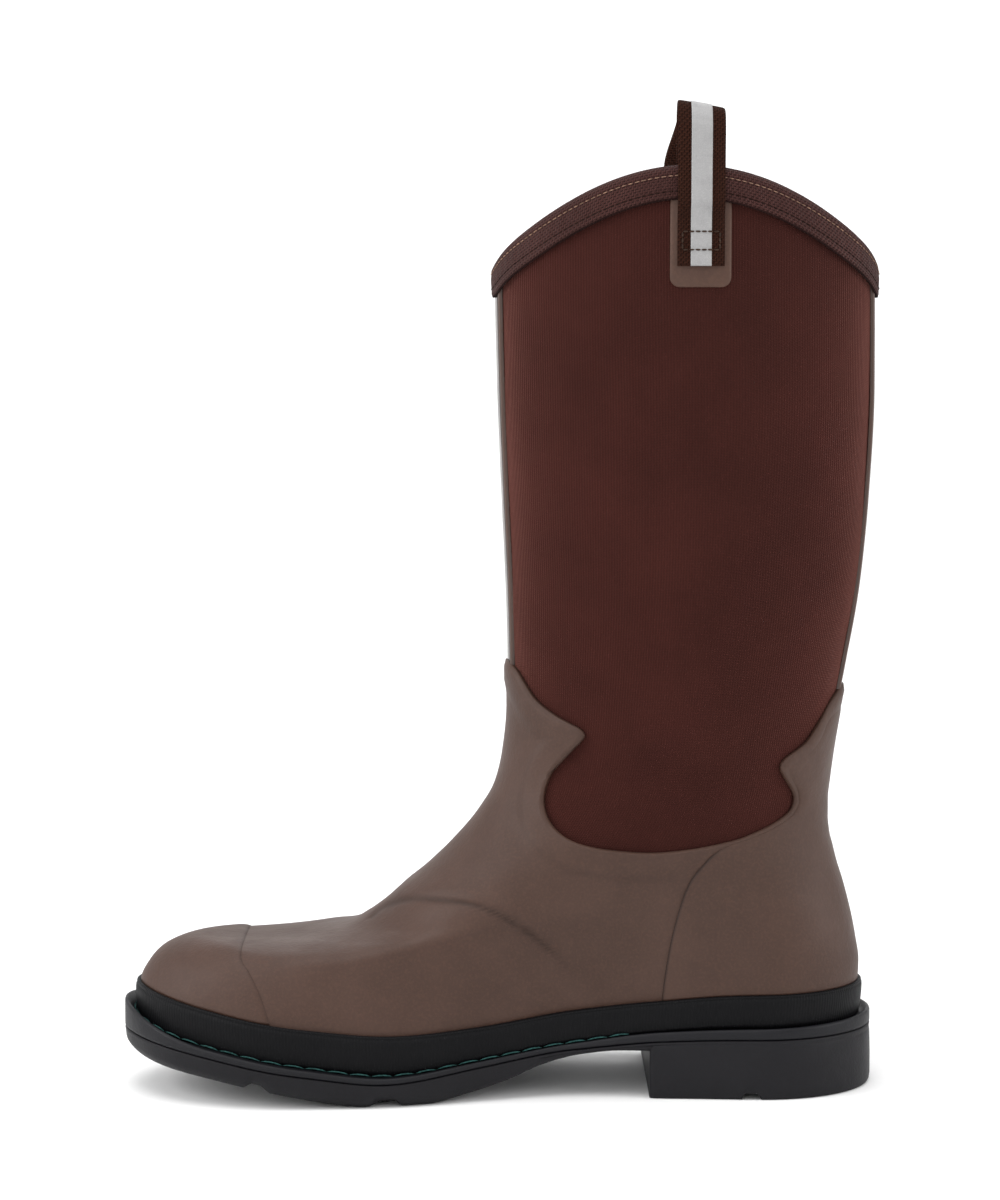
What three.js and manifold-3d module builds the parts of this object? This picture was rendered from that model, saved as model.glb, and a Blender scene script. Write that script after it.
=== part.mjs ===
// Pull-on steel toe work boot, right foot, western shape with a neoprene shaft and a moulded rubber lower.
//
// Frame: millimetres, +Z up, toe towards -X, heel towards +X, medial side towards -Y.
// The origin is the middle of the bounding box in X and Y, on the ground in Z.
//
// The upper is one surface, upperPoint(around, level). "around" runs once round the boot: 0 at the toe,
// 1 at the heel after passing the medial side, and back to 2 at the toe along the lateral side.
// "level" counts the stations of the last upwards from the sole. Every layer of the upper is this
// surface moved along its normal, and the sole parts follow the outline of its lowest level.

import * as THREE from "three";
import { mergeVertices } from "three/addons/utils/BufferGeometryUtils.js";
import Module from "manifold-3d";

const manifold = await Module();
manifold.setup();

// ---------------------------------------------------------------- driving dimensions
const clearance = 0.3; // between parts that touch

const lastLength = 292.5; // upper at the sole, toe to heel
const ballWidth = 93; // upper at the ball, without the shift between the two sides
const collarHeight = 380; // top of the collar at its two side peaks
const collarDip = 35; // how much lower the collar sweeps towards the front and back
const collarTip = 4; // and how much more it drops right at the two seams
const ankleHeight = 126; // below it heights belong to the foot, above it to the shaft

const rubberWall = 1.7;
const overlayWall = 0.8; // second rubber layer over the toe and heel
const neopreneWall = 4;
const liningWall = 0.9;
const toeCapWall = 2;
const stiffenerWall = 1.4;
const tapeWall = 0.9;
const tapeWidth = 24;

const foxingWall = 2.8;
const heelHeight = 24.5; // ground to the top of the heel block
const heelBreastX = 61.4; // front face of the heel block on the standard last
const boardThickness = 2.5;
const footbedThickness = 5;
const footbedPlay = 1.5; // all round, so that it can be lifted out
const shankWidth = 16;
const shankThickness = 1.6;
const treadDepth = 3;

const bindingWall = 1.2;
const bindingDepth = 13; // how far the binding reaches down outside the collar
const bindingInnerDepth = 11;

const loopX = 79.6; // middle of the pull loops along the boot
const webbingWidth = 18.8;
const webbingWall = 1.5;
const stripeWidth = 8.3;
const stripeWall = 0.4;
const loopRise = 24; // loop above the collar's peak
const loopLean = 0.22; // the loop's top falls towards the heel by this slope
const patchWidth = 26;
const patchDrop = 46; // bottom of the patch below the collar's peak
const legDrop = 40; // bottom of the sewn outer leg below the collar's peak
const innerLegDrop = 28;
const threadSize = 0.5;

// ---------------------------------------------------------------- scaling from the standard last
const standard = { lastLength: 292.5, ballWidth: 93, collarHeight: 380, heelX: 146 };
const lengthScale = lastLength / standard.lastLength;
const widthScale = ballWidth / standard.ballWidth;
const shaftScale = (collarHeight - ankleHeight) / (standard.collarHeight - ankleHeight);
const lastX = (x) => standard.heelX - (standard.heelX - x) * lengthScale;
const lastZ = (z) => (z <= ankleHeight ? z : ankleHeight + (z - ankleHeight) * shaftScale);

// ---------------------------------------------------------------- curves
// Smooth curve through (x, y) knots that never overshoots them (monotone cubic).
function curve(knots) {
  const xs = knots.map((knot) => knot[0]);
  const ys = knots.map((knot) => knot[1]);
  const last = xs.length - 1;
  const slope = (i) => (ys[i + 1] - ys[i]) / (xs[i + 1] - xs[i]);
  const tangents = xs.map((_, i) => {
    if (i === 0) return slope(0);
    if (i === last) return slope(last - 1);
    const [before, after] = [slope(i - 1), slope(i)];
    return before * after <= 0 ? 0 : (2 * before * after) / (before + after);
  });
  return (x) => {
    let i = 0;
    while (i < last - 1 && x > xs[i + 1]) i += 1;
    const width = xs[i + 1] - xs[i];
    const t = THREE.MathUtils.clamp((x - xs[i]) / width, 0, 1);
    const [t2, t3] = [t * t, t * t * t];
    return (
      (2 * t3 - 3 * t2 + 1) * ys[i] +
      (t3 - 2 * t2 + t) * width * tangents[i] +
      (3 * t2 - 2 * t3) * ys[i + 1] +
      (t3 - t2) * width * tangents[i + 1]
    );
  };
}

const alongLast = (knots) => curve(knots.map(([x, y]) => [lastX(x), y]));

// Heights of the sole parts along the boot, at their outer edge.
const foxingBottom = alongLast([
  [-152, 28.5], [-120, 23.3], [-80, 16], [-46, 12], [-10, 16.2],
  [30, 22.4], [65, 27.2], [100, 28.8], [152, 29.3],
]);
const foxingTop = alongLast([
  [-152, 43.5], [-120, 36.6], [-80, 29.6], [-42, 26.3], [-10, 28.3],
  [30, 34], [60, 37.3], [100, 40], [152, 40.5],
]);
const weltHeight = alongLast([[-152, 3.4], [-50, 2.2], [20, 2], [60, 3.4], [110, 4], [152, 4]]);
const soleBottom = alongLast([
  [-158, 17], [-140, 13.6], [-118, 10.6], [-95, 6.6], [-75, 2.6], [-55, 0], [-30, 0], [-14, 3],
  [2, 7.6], [18, 14], [34, 18], [50, 19.6], [160, 19.6],
]);
const foxingReach = clearance + rubberWall + clearance; // inner face of the foxing band
const channelReach = foxingReach + foxingWall; // the stitching channel starts here
const weltLedge = alongLast([[-152, 5.4], [-60, 4.9], [20, 2.5], [70, 2.7], [120, 3.5], [150, 4.5]]);
const weltReach = (x) => channelReach + weltLedge(x);
const inwardShift = alongLast([
  [-150, -6.5], [-105, -6], [-60, -1], [25, 3.6], [80, 1.5], [125, 0], [150, 0],
]);

// ---------------------------------------------------------------- the last
// One row per level: front x, front z, back x, back z, share of the sole's curve, length of the round
// toe end, length of the round heel end, half widths at toe, ball, waist and heel.
const levels = [
  [-146.5, 28.8, 146.0, 29.6, 1.0, 60, 40, 42.5, 46.5, 33.5, 33.5],
  [-147.5, 42.0, 147.2, 42.0, 1.0, 60, 40, 42.5, 46.5, 34.5, 34.5],
  [-144.2, 49.6, 147.6, 51.0, 0.92, 60, 40, 41.0, 45.5, 35.5, 35.0],
  [-137.6, 55.8, 146.3, 60.0, 0.78, 60, 40, 38.5, 43.5, 36.5, 35.0],
  [-123.5, 59.6, 144.8, 68.0, 0.58, 60, 42, 36.5, 41.5, 37.0, 35.0],
  [-103.5, 59.2, 142.9, 76.0, 0.38, 60, 44, 36.0, 40.5, 37.5, 35.0],
  [-84.0, 60.2, 140.7, 84.0, 0.22, 60, 46, 36.0, 40.0, 38.0, 35.0],
  [-64.5, 64.2, 138.3, 91.5, 0.1, 60, 48, 36.0, 40.0, 38.5, 35.0],
  [-47.0, 74.0, 136.5, 98.5, 0.04, 58, 52, 36.0, 39.5, 38.5, 35.5],
  [-32.4, 86.5, 134.9, 105.0, 0, 58, 56, 36.0, 39.0, 38.2, 36.0],
  [-18.8, 99.5, 134.2, 112.0, 0, 62, 60, 36.0, 38.5, 38.0, 37.0],
  [-7.8, 112.5, 134.2, 119.5, 0, 66, 64, 38.0, 38.0, 38.0, 38.0],
  [-0.3, 125.5, 135.0, 127.5, 0, 66, 66, 39.0, 39.0, 39.0, 39.0],
  [3.0, 140.0, 136.6, 140.0, 0, 66, 66, 40.5, 40.5, 40.5, 40.5],
  [4.6, 158.0, 139.5, 158.0, 0, 67, 67, 42.5, 42.5, 42.5, 42.5],
  [4.5, 180.0, 143.5, 180.0, 0, 69, 69, 45.0, 45.0, 45.0, 45.0],
  [3.7, 208.0, 148.2, 208.0, 0, 72, 72, 48.0, 48.0, 48.0, 48.0],
  [2.0, 245.0, 151.7, 245.0, 0, 74, 74, 50.5, 50.5, 50.5, 50.5],
  [0.2, 290.0, 153.7, 290.0, 0, 76, 76, 52.0, 52.0, 52.0, 52.0],
  [-0.9, 340.0, 153.3, 340.0, 0, 76.5, 76.5, 53.0, 53.0, 53.0, 53.0],
  [-1.1, 380.0, 153.0, 380.0, 0, 76.5, 76.5, 53.0, 53.0, 53.0, 53.0],
];
const level = {
  foxing: 1.12,
  rubberStart: 0.2,
  toeTop: 5.3,
  capTop: 5.6,
  stiffenerTop: 6.5,
  sockTop: 8.95,
  shaftStart: 9.05,
  frontPeak: 14.86,
  backPeak: 14.4,
  top: levels.length - 1,
};
const columnScale = [
  lastX, lastZ, lastX, lastZ, null, "length", "length", "width", "width", "width", "width",
];
const columns = columnScale.map((scale, column) =>
  curve(
    levels.map((row, i) => {
      const value = row[column];
      if (typeof scale === "function") return [i, scale(value)];
      if (scale === "length") return [i, value * lengthScale];
      if (scale === "width") return [i, value * widthScale];
      return [i, value];
    }),
  ),
);
const widthX = [-125, -55, 30, 115].map(lastX); // where the four half widths are measured

// Elliptical rounding of an end: 0 at the tip, 1 from "length" on.
function endRound(distance, length) {
  const rest = 1 - Math.min(Math.max(distance, 0) / length, 1);
  return Math.sqrt(1 - rest * rest);
}

function halfWidthAt(x, widths) {
  let i = 0;
  while (i < 2 && x > widthX[i + 1]) i += 1;
  const share = THREE.MathUtils.smoothstep(x, widthX[i], widthX[i + 1]);
  return widths[i] + (widths[i + 1] - widths[i]) * share;
}

function upperPoint(around, at) {
  const [frontX, frontZ, backX, backZ, sag, toeEnd, heelEnd, ...widths] = columns.map((column) => column(at));
  const turn = around * Math.PI;
  const share = (1 - Math.cos(turn)) / 2;
  const x = frontX + (backX - frontX) * share;
  const round = endRound(x - frontX, toeEnd) * endRound(backX - x, heelEnd);
  const side = Math.sin(turn) >= 0 ? -1 : 1;
  const soleCurve = foxingTop(x) - foxingTop(frontX) * (1 - share) - foxingTop(backX) * share;
  const footShare = THREE.MathUtils.clamp(1 - at / 10, 0, 1);
  return new THREE.Vector3(
    x,
    side * round * halfWidthAt(x, widths) + inwardShift(x) * footShare,
    frontZ * (1 - share) + backZ * share + sag * soleCurve,
  );
}

function upperNormal(around, at) {
  const step = 0.004;
  const low = Math.max(at - step * 5, 0);
  const high = Math.min(at + step * 5, level.top);
  const alongAround = upperPoint(around + step, at).sub(upperPoint(around - step, at));
  const alongLevel = upperPoint(around, high).sub(upperPoint(around, low));
  return alongAround.cross(alongLevel).normalize();
}

const layerPoint = (around, at, offset) =>
  upperPoint(around, at).addScaledVector(upperNormal(around, at), offset);

// The level at which the shaft reaches height z. Shaft levels are flat, so one answer fits all round.
function levelAtHeight(z) {
  let [low, high] = [13, level.top];
  for (let i = 0; i < 40; i += 1) {
    const middle = (low + high) / 2;
    if (columns[1](middle) < z) low = middle;
    else high = middle;
  }
  return (low + high) / 2;
}

function collarZ(around) {
  const towardsSeam = Math.cos(around * Math.PI) ** 2;
  return collarHeight - collarDip * towardsSeam - collarTip * towardsSeam ** 14;
}

// ---------------------------------------------------------------- solids
// A closed mesh from points and triangles, turned so that its faces point out.
function closedMesh(points, triangles) {
  let volume = 0;
  for (const [a, b, c] of triangles) volume += points[a].dot(points[b].clone().cross(points[c]));
  const order = volume < 0 ? triangles.map(([a, b, c]) => [a, c, b]) : triangles;
  const geometry = new THREE.BufferGeometry();
  const numbers = points.flatMap((point) => point.toArray());
  geometry.setAttribute("position", new THREE.Float32BufferAttribute(numbers, 3));
  geometry.setIndex(order.flat());
  return geometry;
}

function quad(triangles, a, b, c, d) {
  triangles.push([a, b, c], [a, c, d]);
}

// A wall between an outer and an inner surface. point(i, j, inner) gives both, for i from 0 to uSteps
// and j from 0 to vSteps; a ring closes on itself in i.
function wall(point, uSteps, vSteps, ring) {
  const columnsUsed = ring ? uSteps : uSteps + 1;
  const points = [];
  for (const inner of [false, true]) {
    for (let j = 0; j <= vSteps; j += 1) {
      for (let i = 0; i < columnsUsed; i += 1) points.push(point(i, j, inner));
    }
  }
  const layer = columnsUsed * (vSteps + 1);
  const id = (i, j, inner) => inner * layer + j * columnsUsed + (i % columnsUsed);
  const triangles = [];
  for (let i = 0; i < uSteps; i += 1) {
    for (let j = 0; j < vSteps; j += 1) {
      quad(triangles, id(i, j, 0), id(i + 1, j, 0), id(i + 1, j + 1, 0), id(i, j + 1, 0));
      quad(triangles, id(i, j, 1), id(i, j + 1, 1), id(i + 1, j + 1, 1), id(i + 1, j, 1));
    }
    quad(triangles, id(i, 0, 0), id(i, 0, 1), id(i + 1, 0, 1), id(i + 1, 0, 0));
    quad(triangles, id(i, vSteps, 0), id(i + 1, vSteps, 0), id(i + 1, vSteps, 1), id(i, vSteps, 1));
  }
  if (!ring) {
    for (let j = 0; j < vSteps; j += 1) {
      quad(triangles, id(0, j, 0), id(0, j + 1, 0), id(0, j + 1, 1), id(0, j, 1));
      quad(triangles, id(uSteps, j, 0), id(uSteps, j, 1), id(uSteps, j + 1, 1), id(uSteps, j + 1, 0));
    }
  }
  return closedMesh(points, triangles);
}

// A section carried along a path: sections are lists of points in the same order. A ring joins its
// last section to its first; an open one is capped with fans, so its end sections are convex.
function carried(sections, ring) {
  const size = sections[0].length;
  const count = sections.length;
  const points = sections.flat();
  const id = (i, k) => (i % count) * size + (k % size);
  const triangles = [];
  for (let i = 0; i < (ring ? count : count - 1); i += 1) {
    for (let k = 0; k < size; k += 1) quad(triangles, id(i, k), id(i + 1, k), id(i + 1, k + 1), id(i, k + 1));
  }
  if (!ring) {
    for (let k = 1; k < size - 1; k += 1) {
      triangles.push([id(0, 0), id(0, k), id(0, k + 1)]);
      triangles.push([id(count - 1, 0), id(count - 1, k + 1), id(count - 1, k)]);
    }
  }
  return closedMesh(points, triangles);
}

// Outlines stacked on each other. Each outline goes round the boot in an even number of points from
// the toe tip; the two faces are closed by strips across from the medial to the lateral side.
function stacked(outlines) {
  const size = outlines[0].length;
  const points = outlines.flat();
  const id = (j, k) => j * size + (k % size);
  const triangles = [];
  for (let j = 0; j < outlines.length - 1; j += 1) {
    for (let k = 0; k < size; k += 1) quad(triangles, id(j, k), id(j, k + 1), id(j + 1, k + 1), id(j + 1, k));
  }
  const closeFace = (j, turned) => {
    const face = [];
    face.push([id(j, 0), id(j, size - 1), id(j, 1)]);
    for (let k = 1; k < size / 2 - 1; k += 1) {
      quad(face, id(j, k), id(j, size - k), id(j, size - k - 1), id(j, k + 1));
    }
    face.push([id(j, size / 2 - 1), id(j, size / 2 + 1), id(j, size / 2)]);
    triangles.push(...(turned ? face.map(([a, b, c]) => [a, c, b]) : face));
  };
  closeFace(0, false);
  closeFace(outlines.length - 1, true);
  return closedMesh(points, triangles);
}

// ---------------------------------------------------------------- joins and cuts
function toSolid(geometry) {
  const bare = geometry.clone();
  bare.deleteAttribute("normal");
  bare.deleteAttribute("uv");
  const merged = mergeVertices(bare, 1e-4);
  return new manifold.Manifold(
    new manifold.Mesh({
      numProp: 3,
      vertProperties: new Float32Array(merged.attributes.position.array),
      triVerts: new Uint32Array(merged.index.array),
    }),
  );
}

function toGeometry(solid) {
  const mesh = solid.getMesh();
  const geometry = new THREE.BufferGeometry();
  geometry.setAttribute("position", new THREE.BufferAttribute(new Float32Array(mesh.vertProperties), 3));
  geometry.setIndex(Array.from(mesh.triVerts));
  return geometry;
}

const cut = (geometry, ...tools) =>
  toGeometry(tools.reduce((solid, tool) => solid.subtract(toSolid(tool)), toSolid(geometry)));
const keep = (geometry, tool) => toGeometry(toSolid(geometry).intersect(toSolid(tool)));
const join = (geometry, ...others) =>
  toGeometry(others.reduce((solid, other) => solid.add(toSolid(other)), toSolid(geometry)));

// A side-view outline pushed right through the boot.
function throughBoot(shape, curveSegments = 4) {
  const reach = 2 * ballWidth;
  const geometry = new THREE.ExtrudeGeometry(shape, { depth: reach, bevelEnabled: false, curveSegments });
  geometry.rotateX(Math.PI / 2);
  geometry.translate(0, reach / 2, 0);
  return geometry;
}

const sidePoints = (points) => points.map(([x, z]) => new THREE.Vector2(lastX(x), lastZ(z)));
const sideOutline = (points) => new THREE.Shape(sidePoints(points));

// ---------------------------------------------------------------- the group
const group = new THREE.Group();

function add(name, geometry, material) {
  geometry.computeVertexNormals();
  const mesh = new THREE.Mesh(geometry, material);
  mesh.name = name;
  group.add(mesh);
}

const finish = (color, roughness, metalness = 0) =>
  new THREE.MeshStandardMaterial({ color, roughness, metalness });
const brownRubber = finish(0x5a463f, 0.55);
const blackRubber = finish(0x2b2a2f, 0.6);
const neoprene = finish(0x42252b, 0.95);
const knit = finish(0x2a2424, 0.95);
const steel = finish(0x9a9da0, 0.35, 1);
const board = finish(0xb59a72, 0.9);
const foam = finish(0x3b3b40, 0.9);
const wovenTape = finish(0x54403e, 0.85);
const webbing = finish(0x36261f, 0.85);
const glossTape = finish(0x3a2f2c, 0.3);
const reflective = finish(0xb2b2b2, 0.35);
const greenThread = finish(0x3c645f, 0.7);
const tanThread = finish(0xb79d82, 0.7);

// ---------------------------------------------------------------- sole
const outlineSteps = 36;
const outlineStops = Array.from({ length: outlineSteps }, (_, k) => (2 * k) / outlineSteps);

// A point beside the upper's lowest outline, "reach" outwards and level with height(x, around).
function besideUpper(around, reach, height) {
  const step = 0.004;
  const along = upperPoint(around + step, 0).sub(upperPoint(around - step, 0));
  const outwards = new THREE.Vector3(along.y, -along.x, 0).normalize();
  const point = upperPoint(around, 0).addScaledVector(outwards, reach);
  point.z = height(point.x, around);
  return point;
}

const valueOf = (size, x) => (typeof size === "function" ? size(x) : size);

function outline(reach, height) {
  return outlineStops.map((around) => {
    const x = upperPoint(around, 0).x;
    return besideUpper(around, valueOf(reach, x), height);
  });
}

const weltBottom = (x) => foxingBottom(x) - weltHeight(x);
const soleTop = (x) => weltBottom(x) - clearance;

// The welt's outer lip stands up round the toe tip and a little at the back of the heel.
const toeLip = 8;
const heelLip = 1.6;
function lipRise(around) {
  const fromToe = Math.min(around, 2 - around);
  const fromHeel = Math.abs(1 - around);
  const swell = (distance, width) => Math.cos((Math.min(distance / width, 1) * Math.PI) / 2) ** 2;
  return toeLip * swell(fromToe, 0.22) + heelLip * swell(fromHeel, 0.3);
}

function outsole() {
  const edgeBevel = 3.5;
  const slab = stacked([
    outline((x) => weltReach(x) - 4, (x) => soleBottom(x)),
    outline((x) => weltReach(x) - 0.4, (x) => soleBottom(x) + edgeBevel),
    outline(weltReach, soleTop),
  ]);
  const heelBlock = stacked([
    outline((x) => weltReach(x) - 6, () => 0),
    outline((x) => weltReach(x) - 2.2, () => 3.2),
    outline((x) => weltReach(x) - 0.6, () => 11),
    outline((x) => weltReach(x) - 0.05, (x) => Math.min(soleTop(x), heelHeight) - 0.4),
  ]);
  const breast = [[heelBreastX, -10], [190, -10], [190, 60], [heelBreastX - 1.5, 60]];
  const behindBreast = throughBoot(sideOutline(breast));
  const grooveAt = (x, top, width) => {
    const [half, narrow, below] = [width / 2, width / 3, top - 20];
    return throughBoot(sideOutline([[x - half, below], [x + half, below], [x + narrow, top], [x - narrow, top]]));
  };
  const treadTop = (x) => soleBottom(lastX(x)) + treadDepth + edgeBevel / 3;
  const grooves = [-99, -46.5].map((x) => grooveAt(x, treadTop(x), 8));
  const heelGroove = grooveAt(102, treadDepth, 9);
  return cut(join(slab, keep(heelBlock, behindBreast)), ...grooves, heelGroove);
}

function weltStrip() {
  const sections = outlineStops.map((around) => {
    const x = upperPoint(around, 0).x;
    const outer = weltReach(x);
    const rise = lipRise(around);
    return [
      besideUpper(around, foxingReach, weltBottom),
      besideUpper(around, outer, weltBottom),
      besideUpper(around, outer, (at) => foxingBottom(at) - 0.9 + rise),
      besideUpper(around, outer - 1.4, (at) => foxingBottom(at) + 0.3 + rise),
      besideUpper(around, channelReach + 1.6, (at) => foxingBottom(at) - 0.5 + rise * 0.3),
      besideUpper(around, channelReach + 0.6, (at) => foxingBottom(at) - clearance),
      besideUpper(around, foxingReach, (at) => foxingBottom(at) - clearance),
    ];
  });
  return carried(sections, true);
}

const onFoxingBottom = (around, reach) => besideUpper(around, reach, (x) => foxingBottom(x) + clearance);

function foxingBand() {
  const outer = channelReach;
  const top = level.foxing;
  const sections = outlineStops.map((around) => [
    onFoxingBottom(around, foxingReach),
    onFoxingBottom(around, outer - 0.5),
    layerPoint(around, 0.35 * top, outer),
    layerPoint(around, top - 0.12, outer - 0.2),
    layerPoint(around, top, outer - 1.2),
    layerPoint(around, top, foxingReach),
  ]);
  return carried(sections, true);
}

// Green welt stitching, one thread round the forefoot from waist to waist.
function weltThread() {
  const steps = 22;
  const end = (steps / 2) * ringStep; // the same facets as the welt under it
  const reach = channelReach + 0.9;
  const sections = Array.from({ length: steps + 1 }, (_, k) => {
    const around = (2 - end + (2 * end * k) / steps) % 2;
    const height = (x) => foxingBottom(x) + 0.4 + lipRise(around) * 0.36;
    return [
      besideUpper(around, reach, (x) => height(x) + 0.2),
      besideUpper(around, reach + 0.7, (x) => height(x) + 0.2),
      besideUpper(around, reach + 0.7, (x) => height(x) + 0.9),
      besideUpper(around, reach, (x) => height(x) + 0.9),
    ];
  });
  return carried(sections, false);
}

// Glue line between sock and lining: thick foam bends less evenly.
const liningGap = clearance + neopreneWall / 5;
const linerStack = neopreneWall + liningGap + liningWall; // sock and lining together
const boardPlay = 1; // the board is cut this much smaller than the lining
const boardReach = (x) => -(sockInset(x, 1) + linerStack + boardPlay);
const boardBottom = (x) => foxingBottom(x) + 3;
const boardTop = (x) => boardBottom(x) + boardThickness;

function insoleBoard() {
  return stacked([outline(boardReach, boardBottom), outline(boardReach, boardTop)]);
}

function soleFiller() {
  const reach = foxingReach - 2 * clearance;
  const bottom = (x) => weltBottom(x) + clearance;
  const top = (x) => foxingBottom(x) + 0.9;
  const shankSlot = shankSolid(clearance);
  return cut(stacked([outline(reach, bottom), outline(reach, top)]), shankSlot);
}

// Steel shank: a strip under the waist that follows the board. "grow" widens it into its own slot.
function shankSolid(grow) {
  const [front, back, steps] = [lastX(-20), lastX(95), 10];
  const sections = Array.from({ length: steps + 1 }, (_, k) => {
    const x = front - grow + ((back - front + 2 * grow) * k) / steps;
    const y = inwardShift(x);
    const half = shankWidth / 2 + grow;
    const low = foxingBottom(x) - clearance - grow;
    const high = foxingBottom(x) - clearance + shankThickness + (grow ? 10 : 0);
    const corners = [[-half, low], [half, low], [half, high], [-half, high]];
    return corners.map(([dy, z]) => new THREE.Vector3(x, y + dy, z));
  });
  return carried(sections, false);
}

function footbed() {
  const reach = (x) => boardReach(x) - footbedPlay;
  return stacked([
    outline(reach, (x) => boardTop(x) + clearance),
    outline(reach, (x) => boardTop(x) + clearance + footbedThickness * 0.7),
    outline((x) => reach(x) - 1.5, (x) => boardTop(x) + clearance + footbedThickness),
  ]);
}

// ---------------------------------------------------------------- upper
// How far the sock moves in to make room for the toe cap and the heel stiffener.
const capEndX = lastX(-97); // rear edge of the steel cap
const capEase = [32, 80]; // the sock comes back out between these distances behind it
const stiffenerX = lastX(97); // front edge of the heel stiffener
const stiffenerEase = [49, 27]; // the sock moves in between these distances in front of it
function sockInset(x, at) {
  const toe = 1 - THREE.MathUtils.smoothstep(x, capEndX + capEase[0], capEndX + capEase[1]);
  const heel =
    THREE.MathUtils.smoothstep(x, stiffenerX - stiffenerEase[0], stiffenerX - stiffenerEase[1]) *
    (1 - THREE.MathUtils.smoothstep(at, level.stiffenerTop + 0.5, level.sockTop));
  return toe * (toeCapWall + 2 * clearance) + heel * (stiffenerWall + 2 * clearance);
}

// All layers share these stops, so that their facets lie parallel and keep their gaps.
const ringStep = 1 / 18;
const levelStops = [1, 2, 3, 4, 5, 6, 7, 8, 9, 10.5, 12, 13.5, 15, 16.5, 18.2];

function stopsBetween(low, high, stops) {
  const margin = 0.01;
  return [low, ...stops.filter((stop) => stop > low + margin && stop < high - margin), high];
}

// A layer of the upper between two offsets from its surface, from one level to another. The upper end
// may change around the boot; arc gives the part of the ring it covers.
function shellLayer({ outer, inner, from, to, arc = [0, 2] }) {
  const ring = arc[1] - arc[0] === 2;
  const ringStops = Array.from({ length: 4 / ringStep }, (_, k) => -1 + k * ringStep);
  const arounds = stopsBetween(...arc, ringStops);
  const lowestTop = Math.min(...arounds.map((around) => valueOf(to, around)));
  const rows = stopsBetween(from, lowestTop, levelStops);
  return wall(
    (i, j, isInner) => {
      const around = arounds[i];
      const at = j === rows.length - 1 ? valueOf(to, around) : rows[j];
      const x = upperPoint(around, at).x;
      return layerPoint(around, at, isInner ? inner(x, at) : outer(x, at));
    },
    arounds.length - 1,
    rows.length - 1,
    ring,
  );
}

const flat = (offset) => () => offset;
const rubberInner = clearance;
const rubberOuter = rubberInner + rubberWall;
const overlayInner = rubberOuter + clearance;
const overlayOuter = overlayInner + overlayWall;
const peakLevel = (around) => {
  const share = (1 - Math.cos(around * Math.PI)) / 2;
  return level.frontPeak + (level.backPeak - level.frontPeak) * share;
};

// The western edge of the rubber, seen from the side: from the front peak down to a point, round the
// lower scallop, up to the rear point and on to the back peak. Everything above it is cut away.
function westernWindow() {
  const shape = new THREE.Shape();
  const [start] = sidePoints([[2.6, 179]]);
  shape.moveTo(start.x, start.y);
  const frontCurve = [[8.2, 173.9], [15, 163.8], [23, 157.4], [31, 153.4], [34.6, 150]];
  const frontScallop = [[29, 142], [21.5, 132.8], [18.6, 121], [22.9, 110.6], [34, 104.2], [57, 101.5]];
  const rearScallop = [[76, 102.2], [95, 105.4], [113, 111.4], [121.5, 117.5], [119.4, 128.4], [115.6, 138]];
  const rearCurve = [[122, 143.6], [130, 151.4], [137, 160.5], [143.2, 169]];
  for (const edge of [frontCurve, frontScallop, rearScallop, rearCurve]) shape.splineThru(sidePoints(edge));
  const [backTop, frontTop] = sidePoints([[143.2, 230], [2.6, 230]]);
  shape.lineTo(backTop.x, backTop.y);
  shape.lineTo(frontTop.x, frontTop.y);
  return throughBoot(shape, 3);
}

function vampShell() {
  const layer = shellLayer({
    outer: flat(rubberOuter),
    inner: flat(rubberInner),
    from: level.rubberStart,
    to: peakLevel,
  });
  return cut(layer, westernWindow());
}

function toeCover() {
  const layer = shellLayer({
    outer: flat(overlayOuter),
    inner: flat(overlayInner),
    from: level.foxing + 0.06,
    to: level.toeTop,
    arc: [-0.52, 0.52],
  });
  const front = [[-190, 0], [-94, 0], [-98, 42], [-104, 56], [-110, 70], [-190, 70]];
  return keep(layer, throughBoot(sideOutline(front)));
}

function heelCover() {
  const layer = shellLayer({
    outer: flat(overlayOuter),
    inner: flat(overlayInner),
    from: level.foxing + 0.06,
    to: (around) => peakLevel(around) - 0.02,
    arc: [0.4, 1.6],
  });
  const rear = new THREE.Shape([[65, 0], [66.5, 40]].map(([x, z]) => new THREE.Vector2(lastX(x), z)));
  const edge = [[68.6, 58], [71.6, 73], [76.7, 88.9], [83, 97.4], [92, 103.8], [100, 108]];
  rear.splineThru(edge.map(([x, z]) => new THREE.Vector2(lastX(x), lastZ(z))));
  for (const [x, z] of [[110, 240], [200, 240], [200, 0]]) rear.lineTo(lastX(x), lastZ(z));
  return cut(keep(layer, throughBoot(rear, 2)), westernWindow());
}

const capOuter = -clearance;
const capInner = capOuter - toeCapWall;

function toeRing(behind, inFront) {
  const layer = shellLayer({
    outer: flat(capOuter),
    inner: flat(capInner),
    from: level.rubberStart + 0.1,
    to: level.capTop,
    arc: [-0.56, 0.56],
  });
  return keep(layer, throughBoot(sideOutline([[behind, 0], [inFront, 0], [inFront, 90], [behind, 90]])));
}

function counterStiffener() {
  const layer = shellLayer({
    outer: flat(-clearance),
    inner: flat(-clearance - stiffenerWall),
    from: level.rubberStart + 0.1,
    to: level.stiffenerTop - 0.1,
    arc: [0.5, 1.5],
  });
  return keep(layer, throughBoot(sideOutline([[97, 0], [190, 0], [190, 120], [97, 120]])));
}

const sockOuter = (x, at) => -sockInset(x, at);
const sockInner = (x, at) => sockOuter(x, at) - neopreneWall;
const liningOuter = (x, at) => sockInner(x, at) - liningGap;
const liningInner = (x, at) => liningOuter(x, at) - liningWall;

function footSock() {
  return shellLayer({ outer: sockOuter, inner: sockInner, from: 0.25, to: level.sockTop });
}

function footLining() {
  return shellLayer({ outer: liningOuter, inner: liningInner, from: 0.3, to: level.sockTop });
}

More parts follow.
